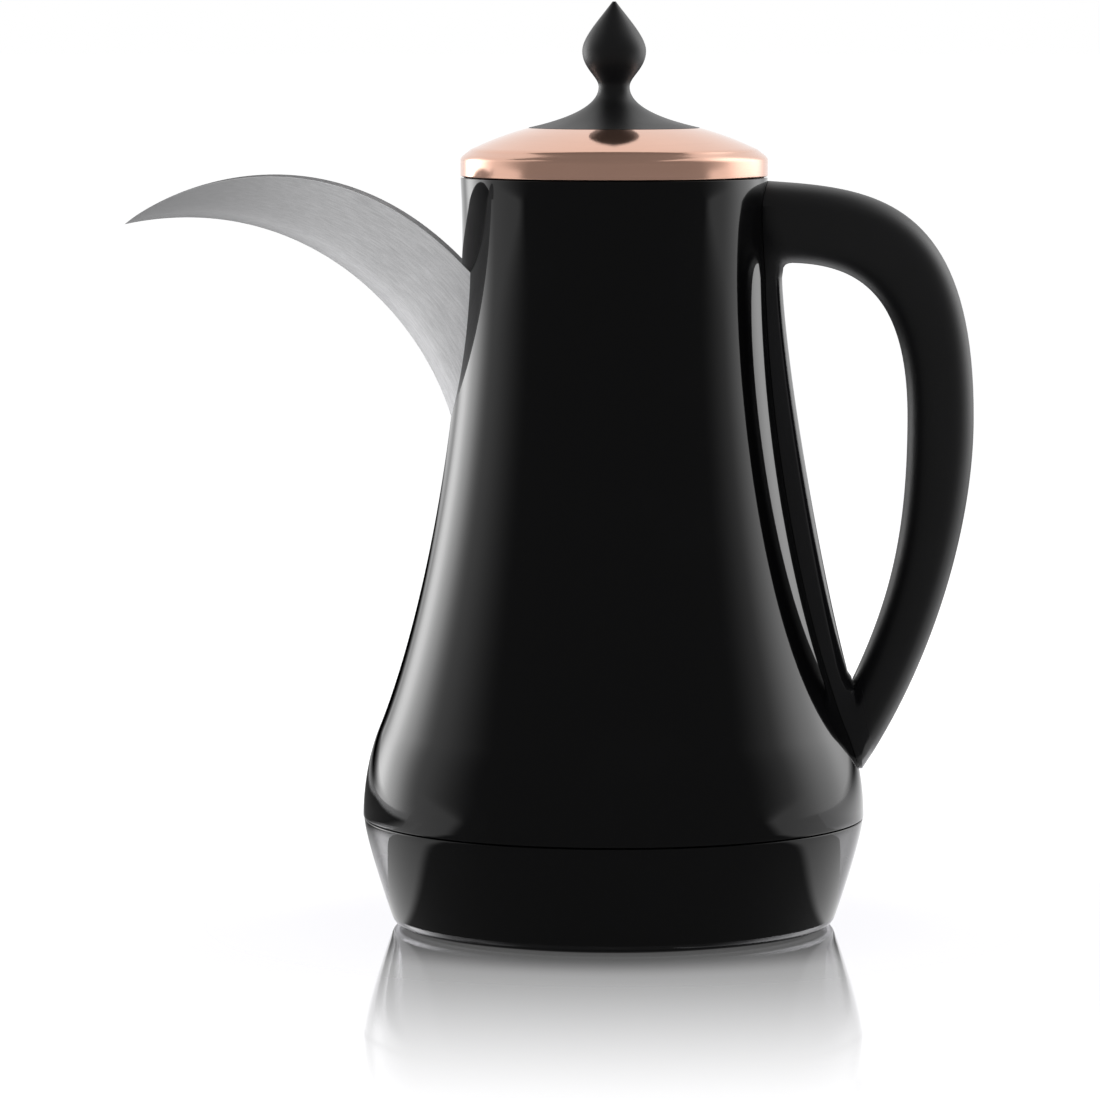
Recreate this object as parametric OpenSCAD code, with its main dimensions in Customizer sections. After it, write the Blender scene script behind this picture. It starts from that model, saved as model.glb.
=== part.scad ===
// Electric dallah coffee pot: a cordless jug with a crescent spout and a loop handle,
// standing on a power base that it turns on and lifts off.
// +Z is up and the pot's own axis is the Z axis. The table is at Z = 0.
// The spout points to -X, the handle to +X and the cord leaves the base towards +Y.

/* [Jug body] */
// Height of the body's top edge
body_top_z = 232; // [230:0.5:234]
// Radius of the body at its top edge
body_top_r = 47.4; // [47:0.1:47.9]
// Height of the seam between the jug and the power base
seam_z = 34; // [33.8:0.1:34.6]
// Radius of the body at the seam, its widest
belly_r = 77.8; // [77.4:0.1:78.6]
// Height at which the flare turns into the belly
shoulder_z = 62.4; // [61.5:0.1:63.5]
// Radius at which the flare turns into the belly
shoulder_r = 72.3; // [71.9:0.1:72.8]
// Thickness of the moulded body shell
shell_wall = 2.2; // [2:0.1:2.4]

/* [Coffee vessel] */
// Distance from the body's outside to the vessel's outside
vessel_inset = 4.4; // [4.3:0.1:4.6]
// Thickness of the vessel's steel
vessel_wall = 0.8; // [0.6:0.1:1]
// Inner radius of the vessel's straight neck
neck_r = 42; // [41.8:0.1:42.1]
// Height of the underside of the vessel's floor
vessel_floor_z = 58; // [57.5:0.5:59]
// Height of the vessel's top edge
vessel_top_z = 228.6; // [228:0.1:228.8]
// Height of the coffee port in the vessel's wall
port_h = 34; // [28:1:36]
// Width of the coffee port
port_w = 16; // [12:1:18]

/* [Spout] */
// Reach of the spout's tip from the axis
spout_reach = 151; // [148:0.5:154]
// Height of the spout's tip
spout_tip_z = 217.5; // [215:0.5:220]
// Height at which the spout's upper edge leaves the body
spout_top_z = 206.1; // [205.1:0.5:207.6]
// Height at which the spout's keel leaves the body
spout_keel_z = 158.3; // [157:0.1:160]
// Width of the trough at the body
spout_root_w = 32; // [28:1:34]
// Power of the taper in plan: more keeps the width further out
spout_taper = 1.8; // [1.4:0.1:2.4]
// Thickness of the spout's steel
spout_wall = 1.2; // [1:0.1:1.5]

/* [Handle] */
// Reach of the handle's outer edge from the axis
handle_reach = 111.3; // [109.9:0.2:112.9]
// Thickness of the grip, seen from the side
grip_t = 20.4; // [19:0.2:22]
// Width of the arm where it leaves the body
arm_w = 27; // [25:0.5:28]
// Width of the grip at the hand
grip_w = 24; // [22:0.5:26]
// Height of the handle's foot
handle_foot_z = 48.6; // [48:0.1:50]
// Width of the handle's spine at its top
spine_top_w = 15; // [14:0.5:17]
// Width of the handle's spine at its foot
spine_foot_w = 20; // [18:0.5:22]

/* [Lid] */
// Height of the copper band
band_h = 4.8; // [4.3:0.1:5.3]
// Height of the top of the lid's cone
cone_top_z = 247.2; // [246.8:0.1:247.6]
// Radius at which the finial's skirt starts
skirt_r = 26.4; // [26:0.2:27]
// Height of the finial's tip
tip_z = 286; // [284:0.5:288]
// Greatest radius of the finial's bulb
bulb_r = 10.1; // [9:0.1:11]
// Radius of the finial's neck
finial_neck_r = 5.4; // [5:0.1:6]
// Thickness of the copper-coloured sheet
sheet_t = 1; // [0.8:0.1:1.2]
// Height of the underside of the lid's plug
plug_z = 216; // [214:0.5:218]

/* [Power base] */
// Height of the base's rim
rim_z = 33.6; // [33.4:0.1:33.7]
// Radius of the base's rim
rim_r = 77.5; // [77.1:0.1:77.7]
// Radius of the base near the table
foot_r = 69.1; // [68.5:0.1:69.7]
// Thickness of the base's wall
base_wall = 2.4; // [2.2:0.1:2.6]
// Height of the deck on which the jug stands
deck_z = 30; // [29.6:0.1:30.2]
// Radius of the connector's tower
tower_r = 18.6; // [18:0.1:18.8]
// Height of the connector's tower
tower_z = 44; // [43:0.5:44.5]
// Radius of the bore for the supply cord
cord_r = 3.5; // [3:0.1:3.8]
// Height of the supply cord's bore
cord_z = 13; // [12:0.5:14]

/* [Hidden] */
$fn = 96;

fit_gap = 0.1;      // between pieces of one body that seat in each other
seat_gap = 0.4;     // between pieces of different bodies that rest on each other
swivel_gap = 0.05;  // radial, between the connector's cap and its bore

// Curves. Each outline is one or two cubic curves, given by end points and handles.
function curve_at(p, t) =
    pow(1 - t, 3) * p[0] + 3 * pow(1 - t, 2) * t * p[1] + 3 * (1 - t) * t * t * p[2] + pow(t, 3) * p[3];
function curve(p, steps, first = 0) = [for (i = [first:steps]) curve_at(p, i / steps)];
function backwards(list) = [for (i = [len(list) - 1:-1:0]) list[i]];
function mix(a, b, t) = a + (b - a) * t;

// An outline runs downwards with its outside on the +R side. inset moves it inwards by d.
function heading(path, i) = path[min(i + 1, len(path) - 1)] - path[max(i - 1, 0)];
function outward(v) = [-v.y, v.x] / norm(v);
function inset(path, d) = [for (i = [0:len(path) - 1]) path[i] - d * outward(heading(path, i))];
function between(path, low, high) = [for (p = path) if (p.y > low && p.y < high) p];

body_flare = [[body_top_r, body_top_z], [43.9, 171], [58.1, 98.2], [shoulder_r, shoulder_z]];
body_belly = [[shoulder_r, shoulder_z], [75.7, 54.4], [belly_r, 43.9], [belly_r, seam_z]];
body_path = concat(curve(body_flare, 16), curve(body_belly, 5, 1));
inner_path = inset(body_path, shell_wall);

edge_z = 3.4;      // where the base's side turns into its rounded lower edge
edge_low = 0.8;    // underside of that edge, above the table
base_side = [[rim_r, rim_z], [77.1, 28], [72.4, 13], [foot_r, edge_z]];
base_edge = [[foot_r, edge_z], [68.4, 1.4], [67.6, edge_low], [66.2, edge_low]];
base_path = concat(curve(base_side, 8), curve(base_edge, 4, 1));

// Solid inside the body's outline moved inwards by d, over the body's height
module body_form(d = 0) {
    path = inset(body_path, d);
    rotate_extrude()
        polygon(concat([[0, body_top_z]], [[path[0].x, body_top_z]], between(path, seam_z, body_top_z),
                       [[path[len(path) - 1].x, seam_z]], [[0, seam_z]]));
}

// Layer that lies between two distances under the body's outline
module body_layer(outer, inner) {
    difference() {
        body_form(outer);
        body_form(inner);
    }
}

// Ring with a rectangular section
module ring(r_in, r_out, low, high) {
    rotate_extrude()
        translate([r_in, low])
            square([r_out - r_in, high - low]);
}

// Cylinder between two heights
module post(r, low, high) {
    translate([0, 0, low])
        cylinder(r = r, h = high - low);
}

// Children repeated round the Z axis at radius r
module around(r, count, first = 0) {
    for (i = [0:count - 1])
        rotate([0, 0, first + i * 360 / count])
            translate([r, 0, 0])
                children();
}

// Pan-head screw pointing up from z = 0, its head below it
module screw(shank_r, length, head_r, head_h) {
    post(shank_r, 0, length);
    post(head_r, -head_h, 0.01);
}

// ---------------------------------------------------------------- power base

base_floor_low = 1.8;
base_floor_top = 4.2;
foot_ring_in = 55;
foot_ring_out = 62;
deck_t = 2.4;
deck_low = deck_z - deck_t;
deck_screw_at = 46;
floor_r = 64;
deck_r = 73.4;
deck_rib_r = 70.4;
deck_hub_r = 24;
rib_t = 1.6;
deck_boss_r = 4;
spill_r = 26;
pilot_clearance = 0.4;
bore_cut = 30;
base_pilot_r = 1.4;
base_screw_r = 1.35;
base_screw_length = 14;
base_head_r = 3.2;
base_head_h = 1.4;
gland_r = 5;
gland_in_y = 60;
gland_out_y = 75.2;
gland_flange_r = 7;
gland_flange_t = 2.5;

module base_housing() {
    inner = inset(curve(base_side, 8), base_wall);
    color("#0d0d0f")
        difference() {
            rotate_extrude()
                polygon(concat(base_path, [
                    [foot_ring_out + fit_gap, edge_low], [foot_ring_out + fit_gap, base_floor_low],
                    [0, base_floor_low], [0, base_floor_top], [floor_r, base_floor_top]
                ], backwards(between(inner, base_floor_top + 2, rim_z - 2)), [[rim_r - base_wall - 0.1, rim_z]]));
            around(deck_screw_at, 3, 30) {
                post(base_screw_r + pilot_clearance, 0, base_floor_top + 1);
                post(base_head_r + pilot_clearance, 0, base_floor_low + base_head_h + 0.05);
            }
            translate([0, gland_in_y, cord_z])
                rotate([-90, 0, 0])
                    cylinder(r = gland_r + fit_gap, h = bore_cut);
        }
}

module base_deck() {
    color("#161618")
        difference() {
            union() {
                ring(tower_r + 0.5, deck_r, deck_low, deck_z);
                ring(deck_rib_r, deck_rib_r + rib_t, deck_low - 7, deck_low + 1);
                ring(deck_hub_r, deck_hub_r + rib_t, deck_low - 6, deck_low + 1);
                around(deck_screw_at, 3, 30)
                    post(deck_boss_r, base_floor_top, deck_low + 1);
            }
            around(deck_screw_at, 3, 30)
                post(base_pilot_r, 0, base_floor_top + base_screw_length + 6);
            // Shallow ring that keeps spills off the connector
            ring(spill_r, spill_r + 2, deck_z - 0.8, deck_z + 1);
        }
}

module base_foot_ring() {
    color("#2b2b2d")
        ring(foot_ring_in, foot_ring_out, 0, base_floor_low);
}

groove_inner = [8, 11];
groove_outer = [13, 16];
groove_floor = 36;
cap_r = 6;
cap_floor = 38;

module base_connector() {
    color("#1c1c1e")
        difference() {
            union() {
                rotate_extrude()
                    polygon([
                        [0, 14], [17, 14], [19, 16], [19, deck_low - 3.2], [23.4, deck_low - 3.2],
                        [23.4, deck_low - fit_gap], [tower_r, deck_low - fit_gap],
                        [tower_r, tower_z - 1.2], [tower_r - 1.2, tower_z], [0, tower_z]
                    ]);
                // Terminal block for the cord's conductors
                translate([-9, 12, 10])
                    cube([18, 18, 10]);
            }
            ring(groove_inner[0], groove_inner[1], groove_floor, tower_z + 1);
            ring(groove_outer[0], groove_outer[1], groove_floor, tower_z + 1);
            post(cap_r, cap_floor, tower_z + 1);
        }
}

module connector_rings() {
    color("#c79a45")
        for (groove = [groove_inner, groove_outer])
            ring(groove[0] + 0.02, groove[0] + 0.8, groove_floor + 0.02, tower_z - 0.6);
}

module base_screws() {
    color("#8d8f92")
        around(deck_screw_at, 3, 30)
            translate([0, 0, base_floor_low + base_head_h])
                screw(base_screw_r, base_screw_length, base_head_r, base_head_h);
}

module cord_gland() {
    color("#1a1a1c")
        translate([0, gland_in_y, cord_z])
            rotate([-90, 0, 0])
                difference() {
                    union() {
                        cylinder(r = gland_r, h = gland_out_y - gland_in_y);
                        cylinder(r = gland_flange_r, h = gland_flange_t);
                    }
                    translate([0, 0, -1])
                        cylinder(r = cord_r, h = bore_cut);
                }
}

// ------------------------------------------------------------- swivelling cap

module connector_cap() {
    color("#2a2a2c")
        rotate_extrude()
            polygon([
                [0, cap_floor + 0.3], [cap_r - swivel_gap, cap_floor + 0.3], [cap_r - swivel_gap, tower_z],
                [cap_r - 1, tower_z + 0.8], [0, tower_z + 1]
            ]);
}

// ------------------------------------------------------------------ jug body

rebate_r = body_top_r - 1.1;
rebate_z = 229.8;
boss_at = 68.5;
boss_r = 4;
boss_low = 38.2;
boss_top = 52;
jug_pilot_r = 1.5;
cover_screw_r = 1.45;
handle_hole_r = 2.2;
arm_screws_z = [211, 221];
arm_screw_x = 44.4;
foot_screw_z = 57;
foot_screw_x = 70.2;
handle_screw_r = 1.7;
handle_pilot_r = 1.75;
screw_head_r = 3;

module handle_holes(r) {
    for (z = arm_screws_z)
        translate([40, 0, z])
            rotate([0, 90, 0])
                cylinder(r = r, h = 21);
    translate([60, 0, foot_screw_z])
        rotate([0, 90, 0])
            cylinder(r = r, h = 19.5);
}

module body_shell() {
    color("#08080a")
        difference() {
            union() {
                rotate_extrude()
                    polygon(concat(body_path, [[belly_r - shell_wall, seam_z]],
                                   backwards(between(inner_path, seam_z + 2, rebate_z - 2)),
                                   [[body_top_r - shell_wall, rebate_z], [rebate_r, rebate_z],
                                    [rebate_r, body_top_z]]));
                // Screw bosses on the wall, for the cover under the jug
                intersection() {
                    around(boss_at, 3, 60) {
                        post(boss_r, boss_low, boss_top);
                        translate([0, -1.5, boss_low])
                            cube([12, 3, boss_top - boss_low]);
                    }
                    body_form(1);
                }
            }
            around(boss_at, 3, 60)
                post(jug_pilot_r, boss_low - 1, boss_top - 2);
            spout_form(fit_gap);
            handle_holes(handle_hole_r);
        }
}

module neck_ring() {
    color("#121214")
        rotate_extrude()
            polygon([
                [neck_r, rebate_z + fit_gap], [rebate_r - fit_gap, rebate_z + fit_gap],
                [rebate_r - fit_gap, body_top_z], [neck_r + 1, body_top_z], [neck_r, body_top_z - 1]
            ]);
}

neck_low = 204;
floor_corner = 7;

module inner_vessel() {
    flare = inset(curve(body_flare, 16), vessel_inset);
    side = [for (p = between(flare, vessel_floor_z + floor_corner + 2, neck_low - 4))
            [max(p.x, neck_r + vessel_wall), p.y]];
    low_r = side[len(side) - 1].x + 1.8;
    corner = [[low_r, vessel_floor_z + floor_corner], [low_r + 0.8, vessel_floor_z + 2],
              [low_r - 3, vessel_floor_z], [low_r - floor_corner, vessel_floor_z]];
    outside = concat([[neck_r + vessel_wall, vessel_top_z], [neck_r + vessel_wall, neck_low]], side,
                     curve(corner, 5), [[0, vessel_floor_z]]);
    inside = inset(outside, vessel_wall);
    color("#b9bbbd")
        difference() {
            rotate_extrude()
                polygon(concat(outside, [[0, vessel_floor_z + vessel_wall]],
                               backwards([for (i = [2:len(inside) - 2]) inside[i]]),
                               [[neck_r, neck_low], [neck_r, vessel_top_z]]));
            coffee_port(port_w, port_h);
        }
}

module vessel_seal() {
    color("#d8d4cc")
        rotate_extrude()
            polygon([
                [neck_r + vessel_wall + 0.05, vessel_top_z - 3], [body_top_r - shell_wall - 0.6, vessel_top_z - 3],
                [body_top_r - shell_wall - 0.6, rebate_z], [neck_r + 0.1, rebate_z],
                [neck_r + 0.1, vessel_top_z + 0.05], [neck_r + vessel_wall + 0.05, vessel_top_z + 0.05]
            ]);
}

// --------------------------------------------------------------------- spout

port_mid_z = 182;
spout_up = [[-46.9, spout_top_z], [-88.8, 249], [-136.8, 229.3], [-spout_reach, spout_tip_z]];
spout_low = [[-50.4, spout_keel_z], [-61.2, 193.5], [-98.8, 228.7], [-spout_reach, spout_tip_z]];
spout_steps = 20;
spout_sides = 14;
root_up = spout_up[0] + 8 * (spout_up[0] - spout_up[1]) / norm(spout_up[0] - spout_up[1]);
root_low = spout_low[0] + 16 * (spout_low[0] - spout_low[1]) / norm(spout_low[0] - spout_low[1]);

// Station k of the trough: 0 is its root inside the body, and the last is just short of the tip
function station_t(k) = max(0, k - 1) / spout_steps;
function station_up(k) = k == 0 ? root_up : curve_at(spout_up, station_t(k));
function station_low(k) = k == 0 ? root_low : curve_at(spout_low, station_t(k));
function station_w(k) = spout_root_w * (1 - pow(station_t(k), spout_taper));
function station_wall(k) = min(spout_wall, 0.3 * station_w(k), 0.3 * norm(station_up(k) - station_low(k)));

// Half ellipse across the trough from one edge over the keel to the other, grown outwards by g
function trough_arc(k, g) =
    let (up = station_up(k), low = station_low(k), half = station_w(k) / 2 + g,
         down = (low - up) / norm(low - up), depth = norm(low - up) + g)
    [for (i = [0:spout_sides])
        let (a = 180 * i / spout_sides, q = up + down * depth * sin(a))
        [q.x, half * cos(a), q.y]];

// Skin between rings of equal length, closed by the faces in caps
module skin(rings, caps, extra = []) {
    n = len(rings[0]);
    points = concat([for (r = rings) each r], extra);
    sides = [for (k = [0:len(rings) - 2]) for (i = [0:n - 1])
             each [[k * n + i, (k + 1) * n + i, (k + 1) * n + (i + 1) % n],
                   [k * n + i, (k + 1) * n + (i + 1) % n, k * n + (i + 1) % n]]];
    polyhedron(points, concat(sides, caps), convexity = 6);
}

// Skin round a ring of rings, the last joined to the first
module closed_skin(rings) {
    n = len(rings[0]);
    count = len(rings);
    polyhedron([for (r = rings) each r],
               [for (k = [0:count - 1]) for (i = [0:n - 1])
                each [[k * n + i, (k + 1) % count * n + i, (k + 1) % count * n + (i + 1) % n],
                      [k * n + i, (k + 1) % count * n + (i + 1) % n, k * n + (i + 1) % n]]],
               convexity = 6);
}

// Outside of the trough's root as a closed form, grown by g: it cuts the slot that the spout fills
module spout_form(g) {
    n = spout_sides + 1;
    rings = [for (k = [0:5]) trough_arc(k, g)];
    skin(rings, [[for (i = [0:n - 1]) i], [for (i = [n - 1:-1:0]) 5 * n + i]]);
}

// Outside of the vessel with a little room: what seats against the vessel stops there
module vessel_seat() {
    body_form(vessel_inset - fit_gap);
    post(neck_r + vessel_wall + fit_gap, spout_keel_z, vessel_top_z);
}

module spout() {
    m = spout_sides + 1;
    n = 2 * m;
    rings = [for (k = [0:spout_steps])
             concat(trough_arc(k, 0), backwards(trough_arc(k, -station_wall(k))))];
    root = [for (i = [0:m - 2]) each [[i, i + 1, n - 2 - i], [i, n - 2 - i, n - 1 - i]]];
    tip = [for (i = [0:n - 1]) [spout_steps * n + (i + 1) % n, spout_steps * n + i, (spout_steps + 1) * n]];
    color("#a9abad")
        difference() {
            skin(rings, concat(root, tip), [[-spout_reach, 0, spout_tip_z]]);
            vessel_seat();
        }
}

module coffee_port(w, h) {
    translate([-40, 0, port_mid_z])
        rotate([0, -90, 0])
            linear_extrude(20) {
                square([h - w, w], center = true);
                for (side = [-1, 1])
                    translate([side * (h - w) / 2, 0])
                        circle(w / 2);
            }
}

module spout_seal() {
    color("#d8d4cc")
        difference() {
            intersection() {
                body_form(shell_wall + 0.05);
                translate([-60, -20, 150])
                    cube([20, 40, 60]);
            }
            vessel_seat();
            spout_form(0.05);
        }
}

strainer_hole_r = 1.3;
strainer_pitch = 4;

module spout_strainer() {
    color("#c4c6c8")
        difference() {
            intersection() {
                body_layer(vessel_inset + vessel_wall + 0.05, vessel_inset + vessel_wall + 0.65);
                coffee_port(port_w + 5, port_h + 5);
            }
            for (row = [-3:3])
                for (column = [-1:1])
                    translate([-36, strainer_pitch * (column + (abs(row) % 2) / 2 - 0.25),
                               port_mid_z + strainer_pitch * row])
                        rotate([0, -90, 0])
                            cylinder(r = strainer_hole_r, h = 16);
        }
}

// -------------------------------------------------------------------- handle

foot_x = 77.2;
arm_in_z = 205.6;
grip_mid_z = 157.2;
outer_arm = [[47.4, body_top_z - 1.1], [79.7, 228.8], [handle_reach, 226.3], [handle_reach, grip_mid_z]];
outer_grip = [[handle_reach, grip_mid_z], [handle_reach, 122.3], [98, 79.7], [foot_x, handle_foot_z]];
inner_reach = handle_reach - grip_t;
crotch = [74.1, 76];
inner_arm = [[55, arm_in_z], [76.4, 205.1], [inner_reach, 194.8], [inner_reach, grip_mid_z]];
inner_grip = [[inner_reach, grip_mid_z], [inner_reach, 121.7], [85.8, 101], crotch];
rib_face = [[72.6, 79], [64, 111.2], [53.3, 172.6], [51.9, 201]];
rib_back = [[60, 70], [51, 110], [43.5, 160], [42.5, 203]];
arm_steps = 14;
grip_steps = 20;
rib_steps = 12;
grip_sides = 24;
roundness = 0.82;

// One section of the handle: a rounded oblong from the inner to the outer edge
function oblong(outer, inner, width) =
    let (mid = (outer + inner) / 2, half = (outer - inner) / 2)
    [for (i = [0:grip_sides - 1])
        let (a = 360 * i / grip_sides, c = cos(a), s = sin(a),
             q = mid + half * sign(s) * pow(abs(s), roundness))
        [q.x, width / 2 * sign(c) * pow(abs(c), roundness), q.y]];

// The sections go once round the finger gap: out along the arm, down the grip to the foot, and back
// up the rib inside the body's outline, where the body cuts them off
module handle_loop() {
    arm = [for (i = [0:arm_steps])
           oblong(curve_at(outer_arm, i / arm_steps), curve_at(inner_arm, i / arm_steps),
                  mix(arm_w, grip_w, i / arm_steps))];
    grip = [for (i = [1:grip_steps])
            oblong(curve_at(outer_grip, i / grip_steps), curve_at(inner_grip, i / grip_steps), grip_w)];
    foot = [
        oblong([70, 48], crotch + [-0.1, 0.4], grip_w - 1),
        oblong([61, 58], crotch + [-0.3, 1.2], grip_w - 2)
    ];
    rib = [for (i = [0:rib_steps])
           oblong(curve_at(rib_back, i / rib_steps), curve_at(rib_face, i / rib_steps),
                  mix(spine_foot_w, spine_top_w, i / rib_steps))];
    root = [
        oblong([41, 213], [52.3, arm_in_z - 1.4], mix(spine_top_w, arm_w, 0.3)),
        oblong([40, 224], [53, arm_in_z - 0.5], mix(spine_top_w, arm_w, 0.7)),
        oblong([42, outer_arm[0].y], [54, arm_in_z - 0.1], arm_w)
    ];
    closed_skin([for (r = concat(arm, grip, foot, rib, root)) backwards(r)]);
}

module handle_grip() {
    color("#18181a")
        difference() {
            handle_loop();
            body_form(-fit_gap);
            handle_holes(handle_pilot_r);
        }
}

module handle_screws() {
    color("#8d8f92") {
        for (z = arm_screws_z)
            translate([arm_screw_x, 0, z])
                rotate([0, 90, 0])
                    screw(handle_screw_r, 14, screw_head_r, 1.3);
        translate([foot_screw_x, 0, foot_screw_z])
            rotate([0, 90, 0])
                screw(handle_screw_r, 8, screw_head_r, 1.5);
    }
}

// ------------------------------------------------------- heater and underside

plate_low = 54;
plate_r = 57.5;
element_at = 47;
element_r = 3.2;
control_at = 34;
cover_low = deck_z + 1;
cover_top = cover_low + 2.4;
cover_hole_r = 25.3;
cover_r = 74;
lip_r = belly_r - shell_wall - 0.3;
lip_low = seam_z + 0.2;
lip_top = lip_low + 3.4;
support_in = 52.5;

module heater_plate() {
    color("#c9cbcd")
        post(plate_r, plate_low, vessel_floor_z);
}

module heating_element() {
    mid_z = plate_low - element_r - 0.05;
    color("#9a9489") {
        rotate([0, 0, 25])
            rotate_extrude(angle = 310)
                translate([element_at, mid_z])
                    circle(element_r, $fn = 32);
        for (a = [25, 335])
            rotate([0, 0, a])
                translate([element_at, 0, mid_z - 10])
                    cylinder(r = 1.6, h = 10);
    }
}

module thermostat() {
    color("#e8e6e0")
        rotate([0, 0, 115])
            translate([control_at, 0, 0]) {
                post(6.5, plate_low - 9, plate_low - 0.05);
                for (side = [-1, 1])
                    translate([side * 3 - 0.4, -3, plate_low - 15])
                        cube([0.8, 6, 7]);
            }
}

module thermal_fuse() {
    color("#b8a27a")
        rotate([0, 0, -115])
            translate([control_at, -9, plate_low - 2.6])
                rotate([-90, 0, 0]) {
                    cylinder(r = 2.5, h = 18);
                    translate([0, 0, -5])
                        cylinder(r = 0.6, h = 28);
                }
}

module jug_base_cover() {
    color("#121214")
        difference() {
            union() {
                rotate_extrude()
                    polygon([
                        [cover_hole_r, cover_low], [cover_r - 0.6, cover_low], [cover_r, cover_low + 0.8],
                        [cover_r, lip_low], [lip_r, lip_low], [lip_r, lip_top], [cover_r - 0.8, lip_top],
                        [cover_r - 1.8, cover_top], [support_in + 2, cover_top],
                        [support_in + 2, plate_low - 0.1], [support_in, plate_low - 0.1], [support_in, cover_top],
                        [cover_hole_r, cover_top]
                    ]);
                around(boss_at, 3, 60)
                    post(boss_r, cover_low + 1, boss_low - fit_gap);
            }
            around(boss_at, 3, 60) {
                post(cover_screw_r + 0.4, cover_low - 1, boss_low);
                post(screw_head_r + 0.4, cover_low - 1, cover_low + 2);
            }
        }
}

module jug_base_screws() {
    color("#8d8f92")
        around(boss_at, 3, 60)
            translate([0, 0, cover_low + 1.9])
                screw(cover_screw_r, 14, screw_head_r, 1.6);
}

socket_roof = 46;
pin_at = [9.4, 14.4];
pin_t = 1;
pin_w = 4;

module jug_socket() {
    color("#1c1c1e")
        difference() {
            rotate_extrude()
                polygon([
                    [tower_r + 0.6, cover_low + 0.2], [cover_hole_r - fit_gap, cover_low + 0.2],
                    [cover_hole_r - fit_gap, cover_top + fit_gap], [28, cover_top + fit_gap], [28, cover_top + 1.8],
                    [24, cover_top + 1.8], [24, 50], [0, 50], [0, socket_roof], [tower_r + 0.6, socket_roof]
                ]);
            pin_stack(fit_gap);
        }
}

// Centre pin and the two blades that run in the connector's ring grooves, grown by g
module pin_stack(g) {
    post(1.5 + g, tower_z + 1.4, 53 + g);
    for (i = [0, 1])
        rotate([0, 0, 180 * i])
            translate([pin_at[i] - g, -pin_w / 2 - g, 39])
                cube([pin_t + 2 * g, pin_w + 2 * g, 14 + g]);
}

module socket_pins() {
    color("#c79a45")
        pin_stack(0);
}

// ----------------------------------------------------------------------- lid

lid_z = body_top_z + seat_gap;
ledge_z = cone_top_z - 0.8;
stem_r = 5.5;
stem_low = 224;
column_r = 9;
plug_r = neck_r - 1.4;
plug_wall = 3;
plug_edge = 2;
gasket_z = [220, 225];
groove_r = plug_r - 1.4;
flange_r = body_top_r - sheet_t - 0.3;
flange_t = 1.6;
lid_screw_z = 219.5;
lid_pilot_r = 1.95;
lid_head_r = 3.9;

// The lid's outline runs from the finial's skirt over the cone and the rounded shoulder to the band
crease = [44.2, 240.6];
lid_cone = [[skirt_r, cone_top_z], [33.4, 245.4], [39.4, 242.9], crease];
lid_shoulder = [crease, [46.2, 239.5], [body_top_r, 238.4], [body_top_r, lid_z + band_h]];
lid_path = concat(curve(lid_cone, 5), curve(lid_shoulder, 5, 1), [[body_top_r, lid_z]]);

module lid_ring() {
    inside = between(inset(lid_path, sheet_t), lid_z + 0.1, ledge_z - sheet_t);
    color("#c9967c")
        rotate_extrude()
            polygon(concat(lid_path, [[body_top_r - sheet_t, lid_z]], backwards(inside), [
                [stem_r + 0.1, ledge_z - sheet_t], [stem_r + 0.1, ledge_z], [skirt_r, ledge_z]
            ]));
}

bulb_z = 270.8;
finial_skirt = [[skirt_r - 0.1, cone_top_z + 0.1], [15.5, 249.7], [5.2, 253.6], [finial_neck_r, 260]];
finial_swell = [[finial_neck_r, 260], [5.6, 263], [bulb_r, 265.5], [bulb_r, bulb_z]];
finial_point = [[bulb_r, bulb_z], [bulb_r, 275], [4.6, 280.5], [0.5, tip_z]];

module lid_finial() {
    color("#151517")
        difference() {
            rotate_extrude()
                polygon(concat([[0, stem_low + 0.1], [stem_r, stem_low + 0.1], [stem_r, ledge_z + 0.05],
                                [8, ledge_z + 0.05], [8, 249.4], [13, 248.8], [skirt_r - 2.4, ledge_z + 0.05],
                                [skirt_r - 0.1, ledge_z + 0.05]],
                               curve(finial_skirt, 10), curve(finial_swell, 7, 1), curve(finial_point, 8, 1),
                               [[0, tip_z]]));
            post(lid_pilot_r, stem_low - 1, 238);
        }
}

module lid_liner() {
    color("#1b1b1d")
        difference() {
            rotate_extrude()
                polygon([
                    [0, plug_z], [plug_r - plug_edge, plug_z], [plug_r, plug_z + plug_edge],
                    [plug_r, gasket_z[0]], [groove_r, gasket_z[0]], [groove_r, gasket_z[1]],
                    [plug_r, gasket_z[1]], [plug_r, lid_z], [flange_r, lid_z], [flange_r, lid_z + flange_t],
                    [plug_r - plug_wall, lid_z + flange_t], [plug_r - plug_wall, plug_z + plug_edge],
                    [column_r, plug_z + plug_edge], [column_r, ledge_z - sheet_t - 0.1],
                    [0, ledge_z - sheet_t - 0.1]
                ]);
            post(stem_r + 0.1, stem_low, tip_z);
            post(lid_pilot_r + 0.25, plug_z - 1, tip_z);
            post(lid_head_r + 0.3, plug_z - 1, lid_screw_z);
        }
}

module lid_gasket() {
    mid = (gasket_z[0] + gasket_z[1]) / 2;
    lip = neck_r - 0.3;
    color("#d8d4cc")
        rotate_extrude()
            polygon([
                [groove_r + 0.05, gasket_z[0] + 0.05], [lip - 1.3, gasket_z[0] + 0.05], [lip, gasket_z[0] + 0.6],
                [lip - 0.9, mid - 0.6], [lip - 0.9, mid + 0.6], [lip, gasket_z[1] - 1.2],
                [lip - 1.3, gasket_z[1] - 0.05],
                [groove_r + 0.05, gasket_z[1] - 0.05]
            ]);
}

module lid_screw() {
    color("#8d8f92")
        translate([0, 0, lid_screw_z - 0.05])
            screw(lid_pilot_r - 0.05, 16, lid_head_r, 2.2);
}

// ------------------------------------------------------------------ assembly

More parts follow.
